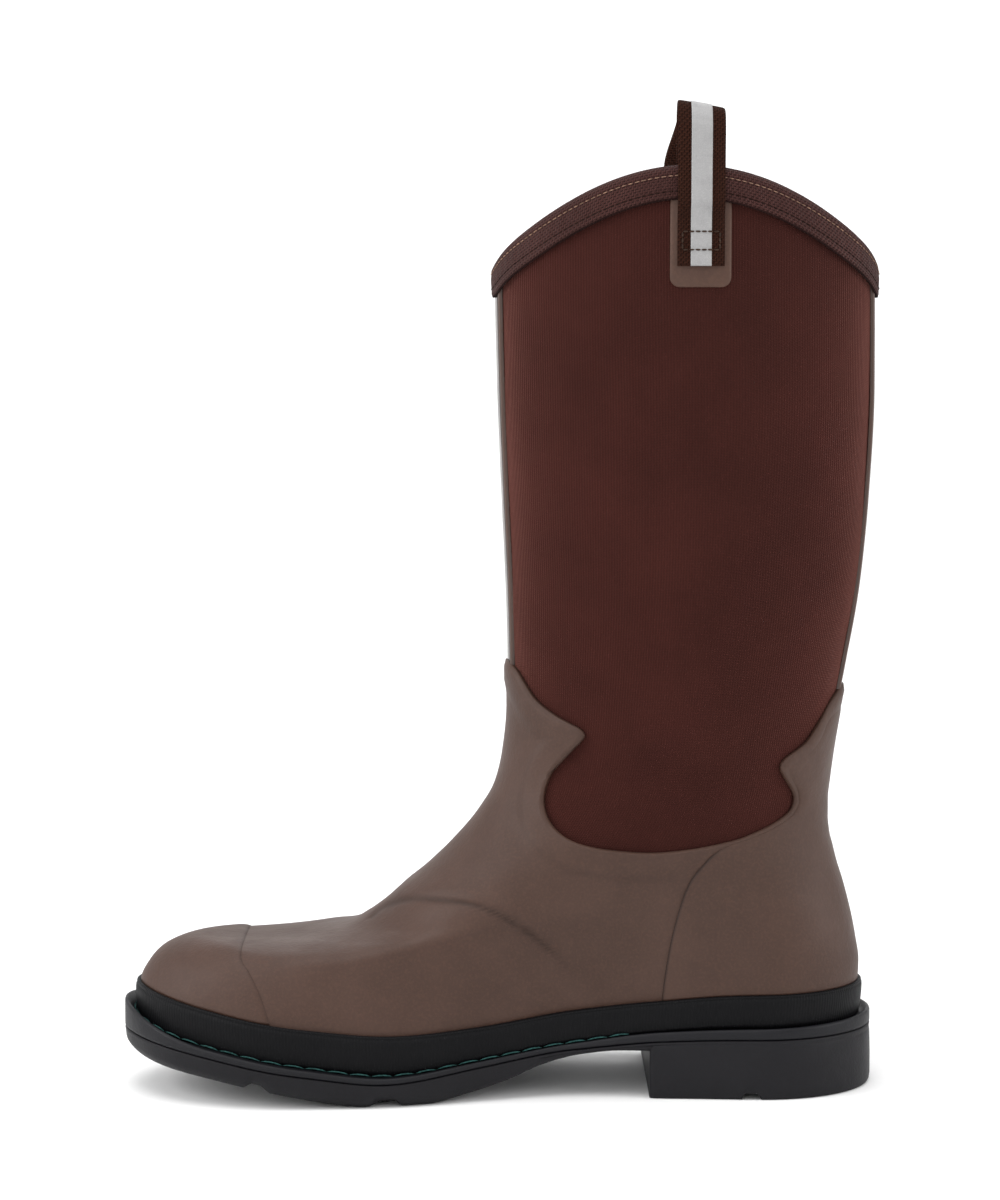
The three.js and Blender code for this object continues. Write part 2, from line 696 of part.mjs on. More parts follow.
const bindingTop = 0.5; // the binding's inside fold above the panel edge
const panelTop = (around) => levelAtHeight(collarZ(around) - bindingWall - bindingTop - 3 * clearance);

function shaftPanel(side) {
  const seam = 0.004;
  const arc = side === "medial" ? [seam, 1 - seam] : [1 + seam, 2 - seam];
  return shellLayer({
    outer: flat(0),
    inner: flat(-neopreneWall),
    from: level.shaftStart,
    to: panelTop,
    arc,
  });
}

function shaftLining() {
  return shellLayer({ outer: liningOuter, inner: liningInner, from: level.shaftStart, to: panelTop });
}

function seamTape(middle, bottom) {
  const half = tapeWidth / 2 / (Math.PI * columns[7](level.top));
  return shellLayer({
    outer: flat(clearance + tapeWall),
    inner: flat(clearance),
    from: bottom + 0.03,
    to: panelTop,
    arc: [middle - half, middle + half],
  });
}

// ---------------------------------------------------------------- collar
const shaftPoint = (around, z, offset) => layerPoint(around, levelAtHeight(z), offset).setZ(z);
const bindingInner = clearance + tapeWall + clearance; // inner face of its outer leg
const bindingOuter = bindingInner + bindingWall;
const bindingBack = -(linerStack + clearance); // outer face of its inner leg

function collarBinding() {
  const steps = 2 / ringStep;
  const section = [
    [bindingInner, -bindingDepth],
    [bindingOuter, -bindingDepth],
    [bindingOuter, -1.8],
    [bindingOuter - 1.2, -0.3],
    [(bindingOuter + bindingBack) / 2, 0],
    [bindingBack - bindingWall + 1.2, -0.3],
    [bindingBack - bindingWall, -1.8],
    [bindingBack - bindingWall, -bindingInnerDepth],
    [bindingBack, -bindingInnerDepth],
    [bindingBack, -bindingWall - bindingTop],
    [bindingInner, -bindingWall - bindingTop],
  ];
  const sections = Array.from({ length: steps }, (_, k) => {
    const around = (2 * k) / steps;
    const top = collarZ(around);
    return section.map(([reach, rise]) => shaftPoint(around, top + rise, reach));
  });
  return carried(sections, true);
}

// One stitch row round the binding, "down" below the collar's edge. It passes under the pull straps.
function bindingThread(down) {
  const steps = 2 / ringStep;
  const offset = bindingOuter + 0.1;
  const sections = Array.from({ length: steps }, (_, k) => {
    const around = (2 * k) / steps;
    const z = collarZ(around) - down;
    return [
      shaftPoint(around, z, offset),
      shaftPoint(around, z, offset + threadSize),
      shaftPoint(around, z + threadSize, offset + threadSize),
      shaftPoint(around, z + threadSize, offset),
    ];
  });
  return carried(sections, true);
}

// ---------------------------------------------------------------- pull loops
const aroundAtLoop = (() => {
  const [front, back] = [columns[0](level.top), columns[2](level.top)];
  return Math.acos(1 - (2 * (lastX(loopX) - front)) / (back - front)) / Math.PI;
})();
const sideSign = { medial: -1, lateral: 1 };
const shaftHalfWidth = (z) => Math.abs(upperPoint(aroundAtLoop, levelAtHeight(z)).y);
const strapAboveBinding = bindingOuter + threadSize + 2 * clearance; // inner face over the binding
const strapOnPatch = clearance + tapeWall + clearance; // inner face where it is sewn down
const legTop = collarHeight + 0.4; // the sewn legs end here
const swingGap = 4.4; // lets the free arch swing 25 degrees either way over the legs' ends
const archStart = legTop + swingGap;
const shaftBend = 49; // tightest radius of the shaft under the loop
const chordPlay = webbingWidth ** 2 / (8 * shaftBend); // a flat strap inside the round collar stands off it
const patchReach = clearance;

// A flat band: path is a list of [out, z] for its inner face; it is "thickness" thick and "width" wide.
function band(side, path, width, thickness, leanAbove = Infinity) {
  const sections = path.map(([out, z], i) => {
    const [beforeOut, beforeZ] = path[Math.max(i - 1, 0)];
    const [afterOut, afterZ] = path[Math.min(i + 1, path.length - 1)];
    const run = new THREE.Vector2(afterOut - beforeOut, afterZ - beforeZ).normalize();
    const [thickOut, thickZ] = [run.y * thickness, -run.x * thickness];
    const corner = (dx, share) => {
      const height = z + thickZ * share;
      const lean = height > leanAbove ? -dx * loopLean * ((height - leanAbove) / loopRise) : 0;
      const y = sideSign[side] * (out + thickOut * share);
      return new THREE.Vector3(lastX(loopX) + dx, y, height + lean);
    };
    return [corner(-width / 2, 0), corner(width / 2, 0), corner(width / 2, 1), corner(-width / 2, 1)];
  });
  return carried(sections, false);
}

// The strap's inner face on the outside of the shaft, "extra" further out, from low to high z.
function outerLegPath(low, high, extra) {
  const bindingEdge = collarHeight - bindingDepth;
  const steps = 8;
  return Array.from({ length: steps + 1 }, (_, k) => {
    const z = low + ((high - low) * k) / steps;
    const lift = THREE.MathUtils.smoothstep(z, bindingEdge - 8, bindingEdge - 1);
    const offset = strapOnPatch + (strapAboveBinding - strapOnPatch) * lift + extra;
    return [shaftHalfWidth(Math.min(z, collarHeight)) + offset, z];
  });
}

// The free arch: up from the outer leg, over in a half circle and down to the inner leg.
function archPath(extra) {
  const base = shaftHalfWidth(collarHeight);
  const outLow = base + strapAboveBinding + extra;
  const inLow = base + bindingBack - bindingWall - chordPlay - extra;
  const radius = (outLow - inLow) / 2;
  const middle = (outLow + inLow) / 2;
  const springZ = collarHeight + loopRise - webbingWall - radius + extra;
  const bulge = 0.8;
  const up = [[outLow, archStart], [outLow + bulge, (archStart + springZ) / 2]];
  const over = Array.from({ length: 9 }, (_, k) => {
    const angle = (Math.PI * k) / 8;
    return [middle + radius * Math.cos(angle), springZ + radius * Math.sin(angle)];
  });
  const down = [[inLow - bulge, (archStart + springZ) / 2], [inLow, archStart]];
  return [...up, ...over, ...down];
}

function innerLegPath() {
  const top = legTop;
  const low = collarHeight - innerLegDrop;
  const reach = (z) => shaftHalfWidth(Math.min(z, collarHeight)) + bindingBack - bindingWall - chordPlay;
  return [[reach(top), top], [reach((top + low) / 2), (top + low) / 2], [reach(low), low]];
}

// Rubber patch under the strap: a rounded rectangle pressed onto the shaft.
function loopPatch(side) {
  const top = collarHeight - bindingWall - bindingTop - 6;
  const bottom = collarHeight - patchDrop;
  const corner = 4;
  const half = patchWidth / 2;
  const shape = new THREE.Shape();
  shape.moveTo(-half, top);
  shape.lineTo(-half, bottom + corner);
  shape.absarc(-half + corner, bottom + corner, corner, Math.PI, 1.5 * Math.PI, false);
  shape.lineTo(half - corner, bottom);
  shape.absarc(half - corner, bottom + corner, corner, 1.5 * Math.PI, 2 * Math.PI, false);
  shape.lineTo(half, top);
  const plan = throughBoot(shape, 3);
  plan.translate(lastX(loopX), 0, 0);
  const arcHalf = 0.14; // of the ring, wider than the patch
  const middle = side === "medial" ? aroundAtLoop : 2 - aroundAtLoop;
  const layer = shellLayer({
    outer: flat(patchReach + tapeWall),
    inner: flat(patchReach),
    from: levelAtHeight(bottom - 5),
    to: levelAtHeight(top),
    arc: [middle - arcHalf, middle + arcHalf],
  });
  return keep(layer, plan);
}

// Box stitch that holds the outer leg: one thread laid as a rectangle over strap and stripe.
function loopStitching(side) {
  const [low, high] = [collarHeight - 34.5, collarHeight - 27.5];
  const half = webbingWidth / 2 - 2;
  const extra = webbingWall + clearance + stripeWall + clearance;
  const reach = (z) => shaftHalfWidth(z) + strapOnPatch + extra;
  const at = (x, z, outMore) => new THREE.Vector3(lastX(loopX) + x, sideSign[side] * (reach(z) + outMore), z);
  const t = threadSize;
  const corners = [[-half, low, 1, 1], [half, low, -1, 1], [half, high, -1, -1], [-half, high, 1, -1]];
  const sections = corners.map(([x, z, inX, inZ]) => [
    at(x, z, 0),
    at(x, z, t),
    at(x + inX * t, z + inZ * t, t),
    at(x + inX * t, z + inZ * t, 0),
  ]);
  return carried(sections, true);
}

function addPullLoop(side) {
  const legLow = collarHeight - legDrop;
  const stripeOut = webbingWall + clearance;
  const outerLeg = band(side, outerLegPath(legLow, legTop, 0), webbingWidth, webbingWall);
  const legStripe = band(side, outerLegPath(legLow, legTop, stripeOut), stripeWidth, stripeWall);
  add(`loop_patch_${side}`, loopPatch(side), brownRubber);
  add(`loop_outer_leg_${side}`, outerLeg, webbing);
  add(`loop_inner_leg_${side}`, band(side, innerLegPath(), webbingWidth, webbingWall), webbing);
  add(`loop_stripe_${side}`, legStripe, reflective);
  add(`loop_stitching_${side}`, loopStitching(side), tanThread);
  add(`loop_arch_${side}`, band(side, archPath(0), webbingWidth, webbingWall, archStart), webbing);
  add(`arch_stripe_${side}`, band(side, archPath(stripeOut), stripeWidth, stripeWall, archStart), reflective);
}

// ---------------------------------------------------------------- assembly
add("outsole", outsole(), blackRubber);
add("welt_strip", weltStrip(), blackRubber);
add("welt_thread", weltThread(), greenThread);
add("foxing_band", foxingBand(), blackRubber);
add("sole_filler", soleFiller(), foam);
add("steel_shank", shankSolid(0), steel);
add("insole_board", insoleBoard(), board);
add("footbed", footbed(), foam);
add("vamp_shell", vampShell(), brownRubber);
add("toe_cover", toeCover(), brownRubber);
add("heel_cover", heelCover(), brownRubber);
add("toe_cap", toeRing(-190, -97), steel);
add("toe_cap_guard", toeRing(-96.5, -90), blackRubber);
add("counter_stiffener", counterStiffener(), board);
add("foot_sock", footSock(), neoprene);
add("foot_lining", footLining(), knit);
add("shaft_panel_medial", shaftPanel("medial"), neoprene);
add("shaft_panel_lateral", shaftPanel("lateral"), neoprene);
add("shaft_lining", shaftLining(), knit);
add("front_seam_tape", seamTape(0, level.frontPeak), glossTape);
add("back_seam_tape", seamTape(1, level.backPeak), glossTape);
add("collar_binding", collarBinding(), wovenTape);
add("binding_thread_upper", bindingThread(4.2), tanThread);
add("binding_thread_lower", bindingThread(10), tanThread);
addPullLoop("medial");
addPullLoop("lateral");

// The bounding box's middle goes over the origin, and its lowest point onto the ground.
const bounds = new THREE.Box3().setFromObject(group);
const middle = bounds.getCenter(new THREE.Vector3());
group.position.set(-middle.x, -middle.y, -bounds.min.z);

export default group;
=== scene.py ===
"""Pull-on steel toe work boot, modelled over its CAD frame.

Lengths inside this file are millimetres in the last's own frame: toe towards -X, medial side towards
-Y, ground at Z 0. to_frame() turns them into the frame's metres when a mesh is made.
"""

import math

import bmesh
import bpy
import numpy as np
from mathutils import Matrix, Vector


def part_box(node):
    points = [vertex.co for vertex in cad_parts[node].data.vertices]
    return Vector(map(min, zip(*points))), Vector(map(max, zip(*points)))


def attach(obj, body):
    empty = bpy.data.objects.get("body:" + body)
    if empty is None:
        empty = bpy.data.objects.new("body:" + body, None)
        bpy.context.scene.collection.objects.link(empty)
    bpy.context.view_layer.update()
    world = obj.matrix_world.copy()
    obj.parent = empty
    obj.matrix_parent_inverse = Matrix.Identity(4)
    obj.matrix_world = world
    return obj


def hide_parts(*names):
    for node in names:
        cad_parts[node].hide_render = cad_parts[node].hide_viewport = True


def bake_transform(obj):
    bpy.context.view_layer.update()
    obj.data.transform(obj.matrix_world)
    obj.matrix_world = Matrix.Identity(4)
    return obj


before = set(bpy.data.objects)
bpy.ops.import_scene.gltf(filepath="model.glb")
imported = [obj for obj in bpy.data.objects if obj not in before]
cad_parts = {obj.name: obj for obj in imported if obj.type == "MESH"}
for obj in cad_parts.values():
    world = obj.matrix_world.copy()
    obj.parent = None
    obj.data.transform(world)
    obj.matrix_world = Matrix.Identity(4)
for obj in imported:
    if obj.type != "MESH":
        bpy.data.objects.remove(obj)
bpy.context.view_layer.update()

bl_info = {
    "name": "Work boot maker",
    "version": (1, 0, 0),
    "blender": (4, 5, 0),
    "location": "View3D > Sidebar > Boot",
    "description": "Builds a pull-on work boot with a neoprene shaft over its CAD frame",
    "category": "Object",
}

# ---------------------------------------------------------------- main sizes, as in the frame
BODY = "boot"
LOOP_X = 79.6
COLLAR = 380.0
COLLAR_DIP = 35.0
COLLAR_TIP = 4.0
RUBBER_FACE = 2.0
NEOPRENE_WALL = 4.0
SEAM_TAPE_HALF = 12
STRAP_WIDTH = 18.8
STRIPE_WIDTH = 8.3


def middle_x(node):
    low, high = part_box(node)
    return 500 * (low[0] + high[0])


SHIFT_X = middle_x("loop_outer_leg_medial") - LOOP_X


def to_frame(points):
    """Millimetres on the last as metres in the frame: moved along X, then divided by 1000."""
    return (np.asarray(points, float) + (SHIFT_X, 0, 0)) / 1000


def linear(red, green, blue):
    """A display colour from 0 to 255 as the linear colour that a shader takes."""
    share = np.array([red, green, blue]) / 255
    value = np.where(share <= 0.04045, share / 12.92, ((share + 0.055) / 1.055) ** 2.4)
    return tuple(float(v) for v in value)


# ---------------------------------------------------------------- curves
def ease(value, low=0.0, high=1.0):
    """0 below low, 1 above high, and the cubic 3t^2 - 2t^3 between."""
    t = np.clip((np.asarray(value, float) - low) / (high - low), 0, 1)
    return t * t * (3 - 2 * t)


def curve(knots):
    """Monotone cubic through (x, y) knots: inner tangents are harmonic means of the two slopes."""
    xs, ys = np.array(knots, float).T
    slopes = np.diff(ys) / np.diff(xs)
    before, after = slopes[:-1], slopes[1:]
    total = np.where(before * after > 0, before + after, 1)
    inner = np.where(before * after > 0, 2 * before * after / total, 0)
    tangents = np.concatenate([slopes[:1], inner, slopes[-1:]])

    def value(x):
        x = np.clip(x, xs[0], xs[-1])
        i = np.clip(np.searchsorted(xs, x, side="right") - 1, 0, len(xs) - 2)
        width = xs[i + 1] - xs[i]
        t = (x - xs[i]) / width
        t2, t3 = t * t, t * t * t
        return (
            (2 * t3 - 3 * t2 + 1) * ys[i]
            + (t3 - 2 * t2 + t) * width * tangents[i]
            + (3 * t2 - 2 * t3) * ys[i + 1]
            + (t3 - t2) * width * tangents[i + 1]
        )

    return value


def through(points):
    """Catmull-Rom curve through 2-D or 3-D points, as a dense row of points."""
    points = np.array(points, float)
    padded = np.vstack([2 * points[0] - points[1], points, 2 * points[-1] - points[-2]])
    t = np.linspace(0, 1, 24, endpoint=False)[None, :, None]
    a, b, c, d = (padded[k : len(padded) - 3 + k][:, None] for k in range(4))
    spans = 0.5 * (2 * b + (c - a) * t + (2 * a - 5 * b + 4 * c - d) * t**2 + (3 * b - a - 3 * c + d) * t**3)
    return np.vstack([spans.reshape(-1, points.shape[1]), points[-1:]])


def lengths(points):
    """Distance travelled along a row of points, starting from 0."""
    return np.concatenate([[0], np.cumsum(np.linalg.norm(np.diff(points, axis=0), axis=1))])


def evenly(points, count):
    """The same line as count points at equal distances."""
    run = lengths(points)
    at = np.linspace(0, run[-1], count)
    return np.stack([np.interp(at, run, points[:, k]) for k in range(points.shape[1])], axis=1)


def distance_to(points, line):
    """Shortest distance from each point to the vertices of a dense line, worked out in slabs."""
    flat = points.reshape(-1, points.shape[-1])
    slabs = np.array_split(flat, 60)
    nearest = [np.linalg.norm(slab[:, None] - line[None], axis=2).min(axis=1) for slab in slabs]
    return np.concatenate(nearest).reshape(points.shape[:-1])


FOXING_BOTTOM = curve(
    [(-152, 28.5), (-120, 23.3), (-80, 16), (-46, 12), (-10, 16.2)]
    + [(30, 22.4), (65, 27.2), (100, 28.8), (152, 29.3)]
)
FOXING_TOP = curve(
    [(-152, 43.5), (-120, 36.6), (-80, 29.6), (-42, 26.3), (-10, 28.3)]
    + [(30, 34), (60, 37.3), (100, 40), (152, 40.5)]
)
WELT_HEIGHT = curve([(-152, 3.4), (-50, 2.2), (20, 2), (60, 3.4), (110, 4), (152, 4)])
SOLE_BOTTOM = curve(
    [(-158, 17), (-140, 13.6), (-118, 10.6), (-95, 6.6), (-75, 2.6), (-55, 0), (-30, 0), (-14, 3)]
    + [(2, 7.6), (18, 14), (34, 18), (50, 19.6), (160, 19.6)]
)
WELT_REACH = curve([(-152, 10.5), (-60, 10), (20, 7.6), (70, 7.8), (120, 8.6), (150, 9.6)])
INWARD_SHIFT = curve([(-150, -6.5), (-105, -6), (-60, -1), (25, 3.6), (80, 1.5), (125, 0), (150, 0)])

# The last, one row per level: front x and z, back x and z, share of the sole's curve, lengths of the
# round toe and heel ends, half widths at toe, ball, waist and heel.
LEVELS = np.array(
    [
        (-146.5, 28.8, 146.0, 29.6, 1.0, 60, 40, 42.5, 46.5, 33.5, 33.5),
        (-147.5, 42.0, 147.2, 42.0, 1.0, 60, 40, 42.5, 46.5, 34.5, 34.5),
        (-144.2, 49.6, 147.6, 51.0, 0.92, 60, 40, 41.0, 45.5, 35.5, 35.0),
        (-137.6, 55.8, 146.3, 60.0, 0.78, 60, 40, 38.5, 43.5, 36.5, 35.0),
        (-123.5, 59.6, 144.8, 68.0, 0.58, 60, 42, 36.5, 41.5, 37.0, 35.0),
        (-103.5, 59.2, 142.9, 76.0, 0.38, 60, 44, 36.0, 40.5, 37.5, 35.0),
        (-84.0, 60.2, 140.7, 84.0, 0.22, 60, 46, 36.0, 40.0, 38.0, 35.0),
        (-64.5, 64.2, 138.3, 91.5, 0.1, 60, 48, 36.0, 40.0, 38.5, 35.0),
        (-47.0, 74.0, 136.5, 98.5, 0.04, 58, 52, 36.0, 39.5, 38.5, 35.5),
        (-32.4, 86.5, 134.9, 105.0, 0, 58, 56, 36.0, 39.0, 38.2, 36.0),
        (-18.8, 99.5, 134.2, 112.0, 0, 62, 60, 36.0, 38.5, 38.0, 37.0),
        (-7.8, 112.5, 134.2, 119.5, 0, 66, 64, 38.0, 38.0, 38.0, 38.0),
        (-0.3, 125.5, 135.0, 127.5, 0, 66, 66, 39.0, 39.0, 39.0, 39.0),
        (3.0, 140.0, 136.6, 140.0, 0, 66, 66, 40.5, 40.5, 40.5, 40.5),
        (4.6, 158.0, 139.5, 158.0, 0, 67, 67, 42.5, 42.5, 42.5, 42.5),
        (4.5, 180.0, 143.5, 180.0, 0, 69, 69, 45.0, 45.0, 45.0, 45.0),
        (3.7, 208.0, 148.2, 208.0, 0, 72, 72, 48.0, 48.0, 48.0, 48.0),
        (2.0, 245.0, 151.7, 245.0, 0, 74, 74, 50.5, 50.5, 50.5, 50.5),
        (0.2, 290.0, 153.7, 290.0, 0, 76, 76, 52.0, 52.0, 52.0, 52.0),
        (-0.9, 340.0, 153.3, 340.0, 0, 76.5, 76.5, 53.0, 53.0, 53.0, 53.0),
        (-1.1, 380.0, 153.0, 380.0, 0, 76.5, 76.5, 53.0, 53.0, 53.0, 53.0),
    ]
)
TOP_LEVEL = len(LEVELS) - 1
COLUMNS = [curve(list(enumerate(column))) for column in LEVELS.T]
WIDTH_X = (-125, -55, 30, 115)


def upper(around, level):
    """The last's surface. A share of (1 - cos(pi around)) / 2 runs from the level's front to its back;
    the half width there is rounded off elliptically at both ends, and the height follows the sole."""
    around, level = np.broadcast_arrays(np.asarray(around, float), np.asarray(level, float))
    front_x, front_z, back_x, back_z, sag, toe_end, heel_end = (column(level) for column in COLUMNS[:7])
    widths = [column(level) for column in COLUMNS[7:]]
    turn = around * math.pi
    share = (1 - np.cos(turn)) / 2
    x = front_x + (back_x - front_x) * share

    def end(distance, length):
        rest = 1 - np.clip(distance / length, 0, 1)
        return np.sqrt(1 - rest * rest)

    half = widths[0]
    for k in range(3):
        half = half + (widths[k + 1] - widths[k]) * ease(x, WIDTH_X[k], WIDTH_X[k + 1])
    side = np.where(np.sin(turn) >= 0, -1, 1)
    y = side * end(x - front_x, toe_end) * end(back_x - x, heel_end) * half
    y = y + INWARD_SHIFT(x) * np.clip(1 - level / 10, 0, 1)
    sole = FOXING_TOP(x) - FOXING_TOP(front_x) * (1 - share) - FOXING_TOP(back_x) * share
    z = front_z * (1 - share) + back_z * share + sag * sole
    return np.stack([x, y, z], axis=-1)


def unit(vectors):
    return vectors / np.maximum(np.linalg.norm(vectors, axis=-1, keepdims=True), 1e-9)


def normal(around, level):
    """Outward direction of the last: the step round it crossed with the step up it."""
    around, level = np.broadcast_arrays(np.asarray(around, float), np.asarray(level, float))
    low, high = np.clip(level - 0.02, 0, TOP_LEVEL), np.clip(level + 0.02, 0, TOP_LEVEL)
    along = upper(around + 0.004, level) - upper(around - 0.004, level)
    up = upper(around, high) - upper(around, low)
    return unit(np.cross(along, up))


def layer(around, level, offset):
    """The last moved outwards along its normal by offset."""
    return upper(around, level) + normal(around, level) * np.asarray(offset, float)[..., None]


def locate(x, z):
    """(around, level) of the medial surface point seen from the side at (x, z), by halving the levels."""
    x, z = np.asarray(x, float), np.asarray(z, float)
    low, high = np.zeros_like(x), np.full_like(x, TOP_LEVEL)
    for _ in range(40):
        level = (low + high) / 2
        share = share_at(x, level)
        front_x, front_z, back_x, back_z, sag = (column(level) for column in COLUMNS[:5])
        sole = FOXING_TOP(x) - FOXING_TOP(front_x) * (1 - share) - FOXING_TOP(back_x) * share
        below = front_z * (1 - share) + back_z * share + sag * sole < z
        low, high = np.where(below, level, low), np.where(below, high, level)
    return np.arccos(1 - 2 * share_at(x, low)) / math.pi, low


def share_at(x, level):
    front, back = COLUMNS[0](level), COLUMNS[2](level)
    return np.clip((x - front) / (back - front), 0, 1)


def level_at(z):
    """Shaft level at a height, where levels lie flat."""
    levels = np.linspace(13, TOP_LEVEL, 1401)
    return np.interp(z, COLUMNS[1](levels), levels)


def collar_z(around):
    towards_seam = np.cos(np.asarray(around) * math.pi) ** 2
    return COLLAR - COLLAR_DIP * towards_seam - COLLAR_TIP * towards_seam**14


def shaft(around, z, offset):
    """Point of the shaft at an exact height."""
    points = layer(around, level_at(z), offset)
    points[..., 2] = z
    return points


def beside(around, reach, height):
    """Point at a distance outside the lowest outline, at height(x)."""
    step = 0.004
    along = upper(around + step, 0) - upper(around - step, 0)
    out = unit(np.stack([along[..., 1], -along[..., 0], np.zeros_like(along[..., 0])], axis=-1))
    points = upper(around, 0) + out * np.asarray(reach, float)[..., None]
    points[..., 2] = height(points[..., 0])
    return points


# ---------------------------------------------------------------- meshes
def new_object(name, points, faces, uv=None, masks=None):
    """A mesh object at the origin from arrays; uv is per face corner, masks are per vertex."""
    a, b, c = points[faces[:, 0]], points[faces[:, 1]], points[faces[:, 2]]
    volume = np.einsum("ij,ij->i", a, np.cross(b, c)).sum()
    if faces.shape[1] == 4:
        volume += np.einsum("ij,ij->i", a, np.cross(c, points[faces[:, 3]])).sum()
    if volume < 0:
        faces = faces[:, ::-1]
        uv = None if uv is None else uv[:, ::-1]
    mesh = bpy.data.meshes.new(name)
    mesh.from_pydata(to_frame(points), [], faces)
    if uv is not None:
        mesh.uv_layers.new(name="surface").data.foreach_set("uv", uv.reshape(-1).astype(np.float32))
    for mask, values in (masks or {}).items():
        attribute = mesh.attributes.new(mask, "FLOAT", "POINT")
        attribute.data.foreach_set("value", values.reshape(-1).astype(np.float32))
    mesh.polygons.foreach_set("use_smooth", np.ones(len(mesh.polygons), bool))
    obj = bpy.data.objects.new(name, mesh)
    bpy.context.scene.collection.objects.link(obj)
    return obj


def merged(obj):
    """Vertices in one place become one, and faces without area go."""
    work = bmesh.new()
    work.from_mesh(obj.data)
    bmesh.ops.remove_doubles(work, verts=work.verts, dist=1e-7)
    bmesh.ops.dissolve_degenerate(work, edges=work.edges, dist=1e-8)
    bmesh.ops.recalc_face_normals(work, faces=work.faces)
    work.to_mesh(obj.data)
    work.free()
    return obj


def spread(points, wrap_u, wrap_v):
    """UV of a grid in metres: mean distance along each direction, with an extra row where it closes."""
    loop_u = np.concatenate([points, points[:1]]) if wrap_u else points
    loop_v = np.concatenate([points, points[:, :1]], axis=1) if wrap_v else points
    u = np.concatenate([[0], np.cumsum(np.linalg.norm(np.diff(loop_u, axis=0), axis=2).mean(axis=1))])
    v = np.concatenate([[0], np.cumsum(np.linalg.norm(np.diff(loop_v, axis=1), axis=2).mean(axis=0))])
    return np.stack(np.meshgrid(u, v, indexing="ij"), axis=-1) / 1000


def lattice(name, points, wrap_u=False, wrap_v=False, ends=False, masks=None):
    """A grid of points[i, j] as quads. ends closes the first and last section of a closed section."""
    n, m = points.shape[:2]
    i, j = np.meshgrid(np.arange(n if wrap_u else n - 1), np.arange(m if wrap_v else m - 1), indexing="ij")
    corners = [(i, j), (i + 1, j), (i + 1, j + 1), (i, j + 1)]
    faces = np.stack([(a % n) * m + b % m for a, b in corners], axis=-1).reshape(-1, 4)
    uv = spread(points, wrap_u, wrap_v)
    loops = np.stack([uv[a, b] for a, b in corners], axis=-2).reshape(-1, 4, 2)
    if ends:
        k = np.arange(m // 2 - 1)
        first = np.stack([k, k + 1, m - 2 - k, m - 1 - k], axis=-1)
        last = (n - 1) * m + first[:, ::-1]
        faces = np.vstack([faces, first, last])
        loops = np.vstack([loops, np.zeros((2 * len(k), 4, 2))])
    return new_object(name, points.reshape(-1, 3), faces, loops, masks)


def shell(name, outer, inner, ring=False, masks=None):
    """A closed wall: each section goes up the outer grid and back down the inner one."""
    section = np.concatenate([outer, inner[:, ::-1]], axis=1)
    if masks:
        masks = {key: np.concatenate([value, value[:, ::-1]], axis=1) for key, value in masks.items()}
    return lattice(name, section, wrap_u=ring, wrap_v=True, ends=not ring, masks=masks)


def stitches(name, centres, along, out, length, width, arch=0.0):
    """Copies of one thread stitch: a bent bar of six-sided rings, its ends drawn in to points."""
    t = np.linspace(-1, 1, 7)
    fat = np.sqrt(np.clip(1.02 - t**4, 0.02, 1))
    angle = np.arange(6) * math.pi / 3
    side = unit(np.cross(out, along))
    sizes = np.broadcast_to(np.asarray(length, float), (len(centres),))
    ring = (
        centres[:, None, None]
        + along[:, None, None] * (t[None, :, None, None] * sizes[:, None, None, None] / 2)
        + out[:, None, None] * (arch * (1 - t**2)[None, :, None, None])
        + out[:, None, None] * (fat[None, :, None, None] * np.cos(angle)[None, None, :, None] * width / 2)
        + side[:, None, None] * (fat[None, :, None, None] * np.sin(angle)[None, None, :, None] * width / 2)
    )
    count = len(centres)
    points = ring.reshape(-1, 3)
    i, j = np.meshgrid(np.arange(6), np.arange(6), indexing="ij")
    beside_j = (j + 1) % 6
    bar = np.stack([i * 6 + j, (i + 1) * 6 + j, (i + 1) * 6 + beside_j, i * 6 + beside_j], axis=-1)
    bar = bar.reshape(-1, 4)
    caps = np.array([[0, 1, 2, 3], [0, 3, 4, 5], [39, 38, 37, 36], [41, 40, 39, 36]])
    faces = (np.vstack([bar, caps])[None] + 42 * np.arange(count)[:, None, None]).reshape(-1, 4)
    uv = np.zeros((len(faces), 4, 2))
    uv[..., 0] = np.repeat(np.arange(count), 40)[:, None] * 0.37
    return new_object(name, points, faces, uv)


# ---------------------------------------------------------------- shader maths
class Wire:
    """A node output; arithmetic on it adds Math nodes."""

    def __init__(self, graph, socket):
        self.graph, self.socket = graph, socket

    def __add__(self, other):
        return self.graph.math("ADD", self, other)

    def __sub__(self, other):
        return self.graph.math("SUBTRACT", self, other)

    def __rsub__(self, other):
        return self.graph.math("SUBTRACT", other, self)

    def __mul__(self, other):
        return self.graph.math("MULTIPLY", self, other)

    __radd__, __rmul__ = __add__, __mul__


